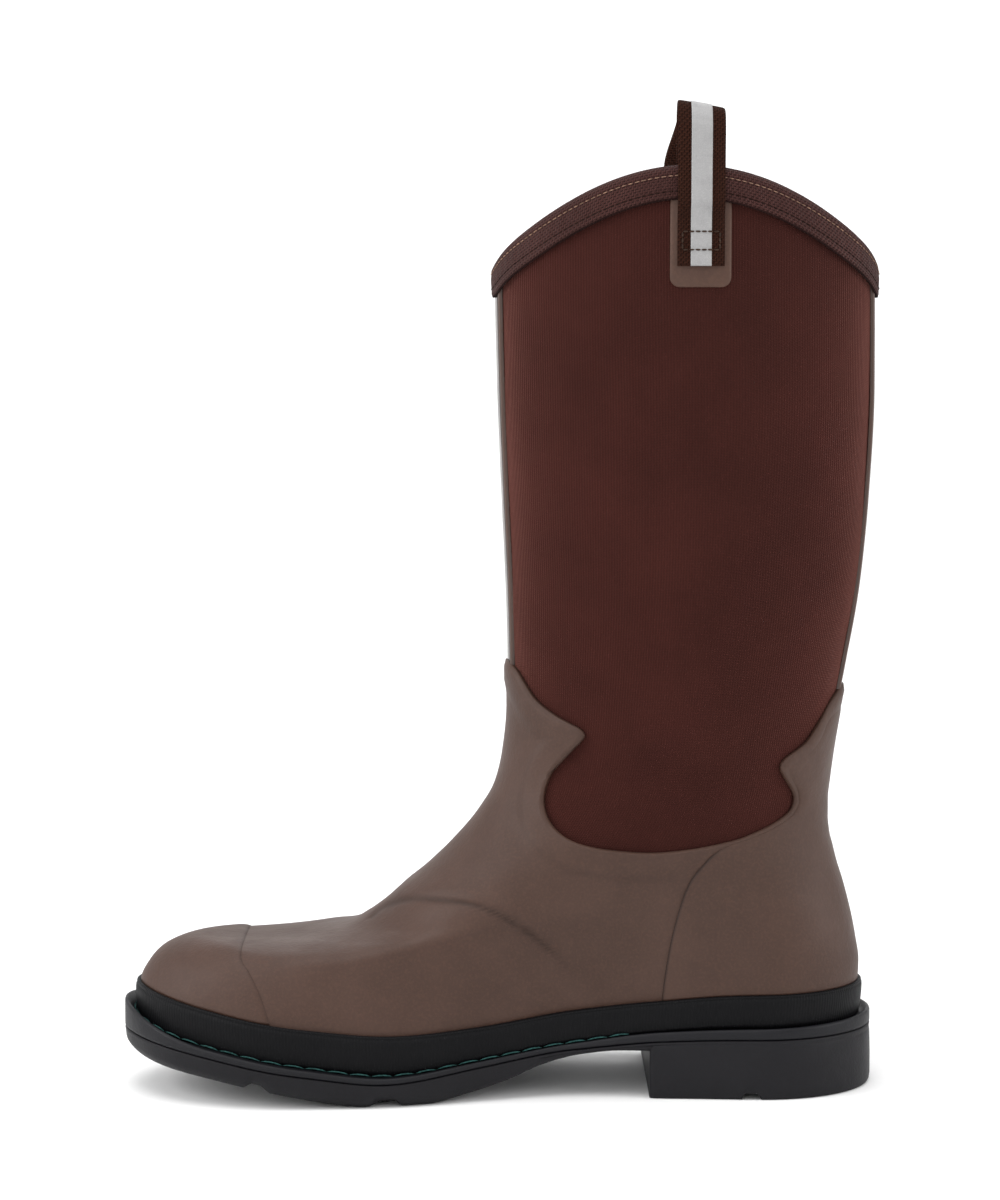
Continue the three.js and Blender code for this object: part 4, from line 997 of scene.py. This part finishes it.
class BOOT_OT_collar_binding(bpy.types.Operator):
    """Woven tape folded over the collar, with two rows of stitches and a rolled cord below it."""

    bl_idname = "boot.collar_binding"
    bl_label = "Collar binding"

    def execute(self, context):
        section = binding_section()
        around = np.linspace(0, 2, 480, endpoint=False)
        top = collar_z(around)
        pucker = 0.12 * np.sin(around * math.pi * 83)[:, None]
        reach = section[:, 0][None] + pucker * ridge(section[:, 1] + 7.2, 3)[None] * (section[:, 0] > 2)[None]
        steep = self.steepness(around)
        points = shaft(around[:, None], top[:, None] + section[:, 1][None] * steep[:, None], reach)
        finish = material("binding weave", woven, tuple(colours().binding), 0.0009, 0.0012, 0.05, 0.85)
        obj = lattice("collar_binding_tape", points, wrap_u=True, wrap_v=True)
        dress(obj, finish, BODY, "woven_tape", "collar_binding")
        self.rows(around, top)
        return {"FINISHED"}

    def steepness(self, around):
        """How much taller the slanting tape stands upright than square to its edge."""
        edge = shaft(around, collar_z(around), np.zeros_like(around))
        step = np.roll(edge, -1, 0) - np.roll(edge, 1, 0)
        return np.hypot(1, step[:, 2] / np.hypot(step[:, 0], step[:, 1]))

    def rows(self, around, top):
        thread = material("tan thread", twisted_thread, tuple(colours().thread))
        dark = material("dark thread", twisted_thread, scaled(tuple(colours().webbing), 0.6))
        for name, down, finish, node in (
            ("binding_stitches_upper", 4.2, thread, "binding_thread_upper"),
            ("binding_stitches_lower", 10.2, dark, "binding_thread_lower"),
        ):
            ring = np.append(around, 2.0)
            steep = self.steepness(around)
            height = collar_z(ring) - down * np.append(steep, steep[0])
            line = shaft(ring, height, np.full(len(ring), 2.78))
            out = normal(ring, level_at(height))
            count = int(lengths(line)[-1] / (sizes().stitch_pitch * 1000))
            both = evenly_with(line, out, count)
            centres, out = both[:, :3], unit(both[:, 3:])
            along = unit(np.roll(centres, -1, 0) - np.roll(centres, 1, 0))
            obj = stitches(name, centres, along, out, sizes().stitch_pitch * 760, 0.45, 0.1)
            dress(obj, finish, BODY, "tan_thread", node)
        angle = np.linspace(0, 2 * math.pi, 10, endpoint=False)
        reach = 2.0 + 0.5 * np.cos(angle)
        rise = -13.2 + 0.5 * np.sin(angle)
        height = top[:, None] + rise[None] * self.steepness(around)[:, None]
        # The rolled cord is painted at 0.4 of the binding's colour: a dark red of its own and painted shade
        # under the binding's edge.
        cord = shaft(around[:, None], height, reach[None] + 0 * top[:, None])
        dark_binding = scaled(tuple(colours().binding), 0.4)
        rolled = material("rolled edge", woven, dark_binding, 0.0006, 0.0006, 0.0, 0.9)
        dress(lattice("binding_rolled_edge", cord, True, True), rolled, BODY, "woven_tape")


def evenly_with(line, extra, count):
    """Points at equal distances round a closed line, each with the vector that belongs to it."""
    run = lengths(line)
    at = (np.arange(count) + 0.5) * run[-1] / count
    both = np.hstack([line, extra])
    return np.stack([np.interp(at, run, both[:, k]) for k in range(6)], axis=1)


# ---------------------------------------------------------------- pull loops
LOOP_AROUND = float(locate(LOOP_X, 360)[0])
LOOP_TOP = 402.5
PATCH_MIDDLE = 351.6
BEND_START, BEND_END = 0.3795, 0.3855
INSIDE_REACH = 8.0


def half_width(z):
    return np.abs(upper(LOOP_AROUND, level_at(np.minimum(z, COLLAR)))[..., 1])


def strap_path(extra):
    """The strap's inner face as (out, z): up the outside of the shaft, over in a half circle and down
    inside. extra moves it outwards."""
    z = np.linspace(340, 380.4, 40)
    lift = ease(z, 359, 366)
    outside = np.stack([half_width(z) + 1.5 + 2.3 * lift + extra, z], axis=1)
    base = half_width(COLLAR)
    out_low, in_low = base + 3.8 + extra, base - INSIDE_REACH - extra
    radius, middle = (out_low - in_low) / 2, (out_low + in_low) / 2
    spring = LOOP_TOP - radius + extra
    swell = 0.8 * np.sin(np.linspace(0.1, 1, 8) * math.pi / 2)
    rise = np.linspace(381.5, spring - 1, 8)
    up = np.stack([out_low + swell, rise], axis=1)
    turn = np.linspace(0, math.pi, 25)
    over = np.stack([middle + (radius + 0.3) * np.cos(turn), spring + radius * np.sin(turn)], axis=1)
    down = np.stack([in_low - swell[::-1], rise[::-1]], axis=1)
    z = np.linspace(380.4, 352, 26)
    inside = np.stack([half_width(z) - INSIDE_REACH - extra, z], axis=1)
    return np.vstack([outside, up, over, down, inside])


def strap(name, side, path, width, thickness, lean_back):
    """A flat band along path: each section is a rounded strip with its edges drawn in. Above the hinge
    it turns a little in its plane and its top moves back by lean_back."""
    path = evenly(path, 150)
    run = np.gradient(path, axis=0)
    run = run / np.linalg.norm(run, axis=1, keepdims=True)
    out = np.stack([run[:, 1], -run[:, 0]], axis=1)
    across = np.sin(np.linspace(-1, 1, 21) * math.pi / 2)
    edge = np.sqrt(1 - np.abs(across) ** 14) * 0.999 + 0.001
    faces = []
    for face in (1, 0):
        depth = thickness * (0.5 + (face - 0.5) * edge)
        flat = path[:, None] + out[:, None] * depth[None, :, None]
        lean = np.where(flat[..., 1] > 384.6, 0.22 * (flat[..., 1] - 384.6) / 24, 0)
        dx = across * width / 2
        back = lean_back * ease(flat[..., 1], 382, 406)
        points = np.stack([LOOP_X + dx + back, side * flat[..., 0], flat[..., 1] - dx * lean], axis=-1)
        faces.append(points)
    return shell(name, faces[0], faces[1])


class BOOT_OT_pull_loops(bpy.types.Operator):
    """Webbing pull loops with their reflective stripe, patch and box stitch."""

    bl_idname = "boot.pull_loops"
    bl_label = "Pull loops"

    def execute(self, context):
        web = material("strap weave", woven, tuple(colours().webbing), 0.001, 0.001, 0.0, 0.85)
        shine = material("reflective stripe", reflective_tape, tuple(colours().stripe))
        thread = material("brown thread", twisted_thread, scaled(tuple(colours().thread), 0.18))
        for side, sign in (("medial", -1), ("lateral", 1)):
            body = f"pull_loop_{side}"
            pivot = sign * half_width(COLLAR) / 1000
            start, end = (0, pivot, BEND_START), (0, pivot, BEND_END)
            lean = 6.0 if side == "lateral" else 0.0
            band = strap(f"pull_strap_{side}", sign, strap_path(0.0), STRAP_WIDTH, 1.5, lean)
            self.bend(band, web, "webbing", body, start, end)
            nodes = [f"loop_{part}_{side}" for part in ("outer_leg", "inner_leg", "arch")]
            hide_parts(*nodes)
            tape = strap(f"pull_stripe_{side}", sign, strap_path(1.55), STRIPE_WIDTH, 0.4, lean)
            self.bend(tape, shine, "reflective", body, start, end)
            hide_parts(f"loop_stripe_{side}", f"arch_stripe_{side}")
            self.patch(side, sign)
            self.box_stitch(side, sign, thread)
        return {"FINISHED"}

    def bend(self, obj, finish, slot, body, start, end):
        obj.data.materials.append(finish)
        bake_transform(obj)

    def patch(self, side, sign):
        """A rounded rectangle pressed onto the shaft: its rim falls off in a quarter round."""
        u = np.sin(np.linspace(-1, 1, 60) * math.pi / 2)
        v = np.sin(np.linspace(-1, 1, 80) * math.pi / 2)
        u, v = np.meshgrid(u, v, indexing="ij")
        half_x, half_z, corner, edge = 12.2, 20.0, 4.0, 1.4
        x, z = u * half_x, v * half_z
        # Square corners are drawn in to the corner's circle.
        over_x = np.maximum(np.abs(x) - (half_x - corner), 0)
        over_z = np.maximum(np.abs(z) - (half_z - corner), 0)
        reach = np.maximum(np.hypot(over_x, over_z), 1e-6)
        square = np.maximum(over_x, over_z)
        shrink = np.where((over_x > 0) & (over_z > 0), square / reach, 1)
        x = np.sign(x) * (np.minimum(np.abs(x), half_x - corner) + over_x * shrink)
        z = np.sign(z) * (np.minimum(np.abs(z), half_z - corner) + over_z * shrink)
        rim = np.maximum(np.abs(u) * half_x - (half_x - edge), np.abs(v) * half_z - (half_z - edge))
        fall = 1 - np.sqrt(1 - np.clip(rim / edge, 0, 1) ** 2)
        height = PATCH_MIDDLE + z
        share = share_at(LOOP_X + x, level_at(height))
        around = np.arccos(1 - 2 * share) / math.pi
        around = around if sign < 0 else 2 - around
        level = level_at(height)
        outer = layer(around, level, 1.2 - 0.85 * fall)
        inner = layer(around, level, np.full_like(level, 0.15))
        obj = shell(f"loop_patch_{side}", outer, inner, masks={"crease_shade": np.zeros_like(rim)})
        # Painted light: a copy of the brown rubber 1.25 times lighter, as the upright patch gets less light
        # than the vamp.
        finish = material("patch rubber", moulded_rubber, scaled(tuple(colours().rubber), 1.25))
        dress(obj, finish, BODY, "brown_rubber", f"loop_patch_{side}")

    def box_stitch(self, side, sign, thread):
        """Thread rows across the strap and down both its sides."""
        x0, z0, z1 = 7.4, 346.4, 353.6
        spots = [(x, z, 1, 0) for z in (z0, z1) for x in np.arange(-x0 + 1.2, x0, 2.45)]
        spots += [(x, z, 0, 1) for x in (-x0, x0) for z in np.arange(z0 + 1.3, z1, 2.3)]
        x, z, dx, dz = np.array(spots).T
        lift = np.where(np.abs(x) < 4.3, 2.02, 1.52)
        y = sign * (half_width(z) + 1.5 + lift)
        centres = np.stack([LOOP_X + x, y, z], axis=1)
        along = np.stack([dx, 0 * dx, dz], axis=1)
        out = np.stack([0 * dx, sign + 0 * dx, 0 * dx], axis=1)
        obj = stitches(f"loop_stitches_{side}", centres, along, out, 2.1, 0.75, 0.1)
        dress(obj, thread, BODY, "tan_thread", f"loop_stitching_{side}")


# ---------------------------------------------------------------- sole
def lip_rise(around):
    """How far the welt's lip turns up: a cosine bump round the toe tip and a low one at the heel."""
    around = np.asarray(around) % 2
    toe, heel = np.minimum(around, 2 - around), np.abs(1 - around)
    swell = lambda distance, width: np.cos(np.clip(distance / width, 0, 1) * math.pi / 2) ** 2
    return 8 * swell(toe, 0.22) + 1.6 * swell(heel, 0.3)


RING = np.linspace(0, 2, 420, endpoint=False)


def ring_of(rows):
    """Rows of (reach, height function) round the boot as a grid[around, row]."""
    x = upper(RING, 0)[:, 0]
    return np.stack([beside(RING, reach(x) if callable(reach) else np.full(len(x), reach), height)
                     for reach, height in rows], axis=1)


class BOOT_OT_foxing(bpy.types.Operator):
    """Black band between the vamp and the welt."""

    bl_idname = "boot.foxing"
    bl_label = "Foxing band"

    def execute(self, context):
        # The ribbing paints the crests of the foxing's ribs lighter: painted highlight.
        finish = material(
            "foxing rubber", moulded_rubber, tuple(colours().foxing),
            dark_lines=False, grain=0.0001, ribbing=0.0013, shine=0.12,
        )
        low = lambda x: FOXING_BOTTOM(x) + 0.2
        bottom = [beside(RING, np.full(len(RING), reach), low) for reach in (2.3, 4.6)]
        profile = [(0.06, 4.95), (0.2, 5.1), (0.45, 5.15), (0.7, 5.1), (0.9, 5.0), (1.0, 4.85), (1.03, 4.45)]
        profile += [(1.06, 4.4), (1.09, 4.55), (1.12, 4.5), (1.15, 4.1), (1.16, 3.4), (1.15, 2.3), (0.6, 2.3)]
        whole = np.ones(len(RING))
        wall = [layer(RING, whole * level, whole * offset) for level, offset in profile]
        obj = lattice("foxing_rand", np.stack(bottom + wall, axis=1), True, True)
        dress(obj, finish, BODY, "black_rubber", "foxing_band")
        return {"FINISHED"}


class BOOT_OT_welt(bpy.types.Operator):
    """Welt strip with its upturned lip and long stitches."""

    bl_idname = "boot.welt"
    bl_label = "Welt"

    def execute(self, context):
        rise = lip_rise(RING)
        bottom = lambda x: FOXING_BOTTOM(x) - WELT_HEIGHT(x)
        rows = [
            (2.3, bottom), (lambda x: WELT_REACH(x) - 1.0, bottom), (lambda x: WELT_REACH(x) - 0.4, bottom),
            (lambda x: WELT_REACH(x), lambda x: bottom(x) + 0.5),
            (lambda x: WELT_REACH(x) + 0.05, lambda x: bottom(x) + WELT_HEIGHT(x) * 0.4),
            (lambda x: WELT_REACH(x), lambda x: FOXING_BOTTOM(x) - 0.9 + rise),
            (lambda x: WELT_REACH(x) - 0.25, lambda x: FOXING_BOTTOM(x) - 0.2 + rise),
            (lambda x: WELT_REACH(x) - 0.8, lambda x: FOXING_BOTTOM(x) + 0.2 + rise),
            (lambda x: WELT_REACH(x) - 1.4, lambda x: FOXING_BOTTOM(x) + 0.2 + rise),
            (lambda x: WELT_REACH(x) * 0.35 + 4.1, lambda x: FOXING_BOTTOM(x) + rise * 0.6),
            (6.3, lambda x: FOXING_BOTTOM(x) - 0.5 + rise * 0.3),
            (5.7, lambda x: FOXING_BOTTOM(x) - 0.35 + rise * 0.1),
            (5.0, lambda x: FOXING_BOTTOM(x) - 0.25), (2.3, lambda x: FOXING_BOTTOM(x) - 0.25),
        ]
        finish = material(
            "welt rubber", moulded_rubber, tuple(colours().welt),
            dark_lines=False, grain=0.0001, gloss=0.45, shine=0.22,
        )
        obj = lattice("welt", ring_of(rows), True, True)
        dress(obj, finish, BODY, "black_rubber", "welt_strip")
        self.stitches()
        return {"FINISHED"}

    def stitches(self):
        end = 0.62
        ring = np.linspace(-end, end, 500)
        points = beside(ring, np.full(500, 6.0), lambda x: FOXING_BOTTOM(x) + 0.5 + 0.42 * lip_rise(ring))
        out = np.tile([0.0, 0.0, 1.0], (500, 1))
        sideways = unit(points - beside(ring, np.full(500, 5.0), lambda x: points[:, 2]))
        pitch = sizes().welt_pitch * 1000
        count = int(lengths(points)[-1] / pitch)
        both = evenly_with(points, unit(out + 0.6 * sideways), count)
        centres, out = both[:, :3], both[:, 3:]
        along = unit(np.gradient(centres, axis=0))
        obj = stitches("welt_stitches", centres, along, unit(out), pitch * 0.95, 0.65, 0.6)
        finish = material("welt thread", twisted_thread, tuple(colours().welt_thread))
        dress(obj, finish, BODY, "green_thread", "welt_thread")


class BOOT_OT_outsole(bpy.types.Operator):
    """Outsole with grooved tread, and the block heel."""

    bl_idname = "boot.outsole"
    bl_label = "Outsole and heel"

    def execute(self, context):
        finish = material("sole rubber", moulded_rubber, tuple(colours().sole), dark_lines=False, shine=0.22)
        dress(self.forepart(), finish, BODY, "black_rubber", "outsole")
        dress(self.heel(), finish, BODY, "black_rubber")
        return {"FINISHED"}

    def groove(self, x):
        """1 in the middle of each cross groove of the tread, with sloping sides."""
        total = 0 * x
        for middle in (-128, -72, -20):
            total = np.maximum(total, 1 - ease(np.abs(x - middle), 2.6, 4.6))
        return np.maximum(total, self.notch(x))

    def notch(self, x):
        """The two grooves that run out through the sole's edge."""
        front = 1 - ease(np.abs(x + 99), 3.0, 4.2)
        return np.maximum(front, 1 - ease(np.abs(x + 46.5), 4.0, 5.2))

    def tread(self, points):
        """Height of the underside: the sole's curve, cross grooves, and a long zigzag groove down the
        middle, all faded out behind the ball."""
        x, y = points[..., 0], points[..., 1] - INWARD_SHIFT(points[..., 0])
        depth = sizes().tread_depth * 1000 * 0.62
        fade = 1 - ease(x, -8, 4)
        zigzag = np.abs(y - 7 * np.sin(x * math.pi / 13))
        half = np.interp(x, [-150, -100, -50, 0, 50, 100, 150], [16, 34, 44, 38, 34, 34, 24])
        inside = 1 - ease(np.abs(y), half - 9, half - 6)
        waffle = np.maximum(1 - ease(zigzag, 1.2, 2.4), self.groove(x)) * inside
        return SOLE_BOTTOM(x) + depth * fade * np.maximum(waffle, self.notch(x))

    def forepart(self):
        soles = lambda x: FOXING_BOTTOM(x) - WELT_HEIGHT(x) - 0.25
        low = lambda x: SOLE_BOTTOM(x) + sizes().tread_depth * 620 * self.notch(x)
        bevel = curve([(-152, 1), (-20, 1), (10, 0.5), (60, 0.4), (152, 0.4)])
        corner = [(4.4, 0.0), (3.4, 0.45), (2.4, 1.2), (1.4, 2.2), (0.7, 3.2), (0.4, 4.2)]
        rows = [
            (lambda x, back=back: WELT_REACH(x) - back * bevel(x), lambda x, up=up: low(x) + up * bevel(x))
            for back, up in corner
        ]
        rows += [
            (lambda x: WELT_REACH(x) - 0.2, lambda x: (low(x) + 4.2 * bevel(x) + soles(x)) / 2),
            (lambda x: WELT_REACH(x) - 0.1, lambda x: soles(x) - 1.2),
            (lambda x: WELT_REACH(x), lambda x: soles(x) - 0.7),
            (lambda x: WELT_REACH(x) - 0.35, lambda x: soles(x) - 0.25),
            (lambda x: WELT_REACH(x) - 0.9, soles),
        ]
        rings = list(np.moveaxis(ring_of(rows), 1, 0))
        shares = np.linspace(0, 1, 34)[1:]

        def drawn_in(ring, share):
            points = ring.copy()
            points[:, 1] = ring[:, 1] * (1 - share) + INWARD_SHIFT(ring[:, 0]) * share
            return points

        under = []
        for share in shares[::-1]:
            points = drawn_in(rings[0], share)
            points[:, 2] = self.tread(points)
            under.append(points)
        above = [drawn_in(rings[-1], share) for share in (0.3, 0.7, 1.0)]
        return merged(lattice("outsole_forepart", np.stack(under + rings + above, axis=1), wrap_u=True))

    def heel(self):
        """The block's outline is the sole's outline behind the breast, closed by a straight front."""
        around = np.linspace(0.6, 1.4, 240)
        x = upper(around, 0)[:, 0]
        rows = [(-1.4, 0.0), (-0.5, 0.25), (0.0, 1.1), (0.3, 3.2), (0.3, 11.0), (0.1, 19.0), (0.0, 21.4),
                (-0.3, 23.4), (-0.9, 24.2)]
        rings = []
        for reach, z in rows:
            top = lambda px, z=z: np.minimum(z + 0 * px, FOXING_BOTTOM(px) - WELT_HEIGHT(px) - 0.35)
            points = beside(around, WELT_REACH(x) + reach, top)
            front = 61.4 + 0.7 * max(0, -reach - 0.6)
            points = points[points[:, 0] > front + 0.6]
            left, right = points[0], points[-1]
            t = np.linspace(0, 1, 60)[:, None]
            corner = 2.2
            line = np.hstack([0 * t + front, right[1] + (left[1] - right[1]) * t, 0 * t + z])
            line[:, 1] = np.clip(line[:, 1], left[1] + corner * 0.3, right[1] - corner * 0.3)
            line[:, 2] = top(line[:, 0])
            rings.append(evenly(np.vstack([points, line, points[:1]]), 321)[:-1])

        def drawn_in(ring, share):
            centre = np.array([106.0, 0.0, ring[:, 2].mean()])
            points = ring * (1 - share) + centre * share
            return points

        under = []
        for share in np.linspace(0, 1, 40)[1:][::-1]:
            points = drawn_in(rings[0], share)
            points[:, 2] = self.heel_tread(points, share)
            under.append(points)
        above = [drawn_in(rings[-1], share) for share in (0.3, 0.7, 1.0)]
        for k, ring in enumerate(rings[:4]):
            ring[:, 2] = np.maximum(ring[:, 2], self.heel_tread(ring, 0) + 0.15 * k)
        return merged(lattice("heel_block", np.stack(under + rings + above, axis=1), wrap_u=True))

    def heel_tread(self, points, share):
        """A cross groove right through, and bars that stop short of the rim."""
        x, y = points[:, 0], points[:, 1]
        through_groove = 1 - ease(np.abs(x - 103), 3.0, 3.9)
        bars = np.maximum(1 - ease(np.abs(x - 84), 1.6, 2.8), 1 - ease(np.abs(x - 121), 1.6, 2.8))
        bars = bars * (1 - ease(np.abs(y), 24, 27))
        middle = (1 - ease(np.abs(y), 1.4, 2.6)) * ease(x, 70, 73) * (1 - ease(x, 134, 137))
        return 2.4 * np.maximum(through_groove, np.maximum(bars, middle) * (share > 0.05))


class BOOT_OT_footbed(bpy.types.Operator):
    """Removable moulded foam footbed with a fabric top."""

    bl_idname = "boot.footbed"
    bl_label = "Footbed"

    def execute(self, context):
        ring = np.linspace(0, 2, 300, endpoint=False)
        x = upper(ring, 0)[:, 0]
        inset = sock_inset(x, 1.0) + 5.6 + 1.0 + 1.5
        base = lambda px: FOXING_BOTTOM(px) + 5.8
        rows = [(0.8, 0.0), (0.15, 0.3), (0.0, 1.2), (0.0, 2.6), (0.25, 3.7), (0.9, 4.6), (1.8, 4.95)]
        rings = [beside(ring, -inset - more, lambda px, up=up: base(px) + up) for more, up in rows]

        def drawn_in(points, share, dish):
            result = points.copy()
            result[:, 1] = points[:, 1] * (1 - share) + INWARD_SHIFT(points[:, 0]) * share
            cup = ease(points[:, 0], 20, 90) * dish
            result[:, 2] -= cup * math.sin(share * math.pi / 2)
            return result

        under = [drawn_in(rings[0], share, 0) for share in (1.0, 0.7, 0.3)]
        above = [drawn_in(rings[-1], share, 1.6) for share in np.linspace(0, 1, 22)[1:]]
        obj = merged(lattice("footbed_insole", np.stack(under + rings + above, axis=1), wrap_u=True))
        finish = material("footbed fabric", woven, linear(58, 58, 64), 0.0012, 0.0012, 0.3, 0.85)
        dress(obj, finish, "removable_footbed", "foam", "footbed")
        return {"FINISHED"}


class BOOT_OT_inner_parts(bpy.types.Operator):
    """Finishes of the parts inside the walls: steel, board, foam, guard and sock."""

    bl_idname = "boot.inner_parts"
    bl_label = "Inner parts"

    def execute(self, context):
        steel = material("brushed steel", brushed_steel)
        board = material("pressed board", pressed_board, linear(170, 146, 108))
        foam = material("sole foam", cell_foam, linear(60, 60, 64))
        guard = material("guard rubber", moulded_rubber, tuple(colours().sole), False)
        sock = material("sock foam", cell_foam, tuple(colours().neoprene))
        for node, finish in (
            ("toe_cap", steel), ("steel_shank", steel), ("insole_board", board), ("counter_stiffener", board),
            ("sole_filler", foam), ("toe_cap_guard", guard), ("foot_sock", sock),
        ):
            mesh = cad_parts[node].data
            mesh.materials.clear()
            mesh.materials.append(finish)
        return {"FINISHED"}


class BOOT_OT_stage(bpy.types.Operator):
    """Pale floor, soft studio light and the camera."""

    bl_idname = "boot.stage"
    bl_label = "Stage"

    def execute(self, context):
        self.floor()
        self.lights()
        self.camera()
        return {"FINISHED"}

    def floor(self):
        """A sheet that lies flat under the boot and curves up behind it."""
        turn = np.linspace(0.08, 1, 24) * math.pi / 2
        y = np.concatenate([np.linspace(-4000, 1200, 20), 1200 + 900 * np.sin(turn)])
        z = np.concatenate([np.zeros(20), 900 - 900 * np.cos(turn)])
        y, z = np.append(y, 2100), np.append(z, 3800)
        x = np.linspace(-5000, 5000, 12)
        points = np.stack([x[:, None] + 0 * y, y + 0 * x[:, None], z + 0 * x[:, None] - 0.05], axis=-1)
        obj = lattice("floor", points)
        g = Graph("paper")
        fibre = g.noise(300, 3)
        obj.data.materials.append(g.surface(g.colour(fibre, (0.86, 0.86, 0.86), (0.9, 0.9, 0.9)), 0.85))

    def lights(self):
        world = bpy.data.worlds.new("studio")
        bpy.context.scene.world = world
        bpy.context.scene.view_settings.view_transform = "Standard"
        world.use_nodes = True
        background = world.node_tree.nodes["Background"]
        background.inputs[0].default_value = (1, 1, 1, 1)
        background.inputs[1].default_value = 0.8
        target = Vector((0, 0, 0.2))
        for name, place, size, power in (
            ("left", (-1.9, -0.5, 1.1), 1.3, 26), ("right", (1.9, -0.4, 0.9), 1.3, 18),
            ("top", (-0.3, -0.4, 2.6), 1.8, 34), ("front", (-0.5, -2.6, 1.3), 1.6, 12),
            ("back", (0.2, 2.2, 1.6), 1.6, 18),
        ):
            light = bpy.data.lights.new(name, "AREA")
            light.size, light.energy = size, power
            obj = bpy.data.objects.new(name, light)
            obj.location = place
            obj.rotation_euler = (target - Vector(place)).to_track_quat("-Z", "Y").to_euler()
            bpy.context.scene.collection.objects.link(obj)

    def camera(self):
        data = bpy.data.cameras.new("camera")
        data.sensor_width = 36
        data.lens = 98.67
        away, height, drop = 1.364, 0.33, 0.128
        obj = bpy.data.objects.new("camera", data)
        obj.location = (SHIFT_X / 1000, -away, height)
        obj.rotation_euler = (math.pi / 2 - math.atan2(drop, away), 0, 0)
        bpy.context.scene.collection.objects.link(obj)
        bpy.context.scene.camera = obj


OPERATORS = (
    BOOT_OT_stage, BOOT_OT_outsole, BOOT_OT_welt, BOOT_OT_foxing, BOOT_OT_rubber_lower,
    BOOT_OT_neoprene_shaft, BOOT_OT_lining, BOOT_OT_seam_tapes, BOOT_OT_collar_binding,
    BOOT_OT_pull_loops, BOOT_OT_footbed, BOOT_OT_inner_parts,
)


class BOOT_PT_panel(bpy.types.Panel):
    """Lists the boot's colours, sizes and makers."""

    bl_idname = "BOOT_PT_panel"
    bl_label = "Work boot"
    bl_space_type = "VIEW_3D"
    bl_region_type = "UI"
    bl_category = "Boot"

    def draw(self, context):
        for group in (context.scene.boot_sizes, context.scene.boot_colours):
            for name in group.__annotations__:
                self.layout.prop(group, name)
        for operator in OPERATORS:
            self.layout.operator(operator.bl_idname)


CLASSES = (BootColours, BootSizes, *OPERATORS, BOOT_PT_panel)


def register():
    for cls in CLASSES:
        bpy.utils.register_class(cls)
    bpy.types.Scene.boot_colours = bpy.props.PointerProperty(type=BootColours)
    bpy.types.Scene.boot_sizes = bpy.props.PointerProperty(type=BootSizes)


def unregister():
    del bpy.types.Scene.boot_sizes, bpy.types.Scene.boot_colours
    for cls in reversed(CLASSES):
        bpy.utils.unregister_class(cls)


def main():
    register()
    for operator in OPERATORS:
        group, name = operator.bl_idname.split(".")
        getattr(getattr(bpy.ops, group), name)()


if __name__ == "__main__":
    main()
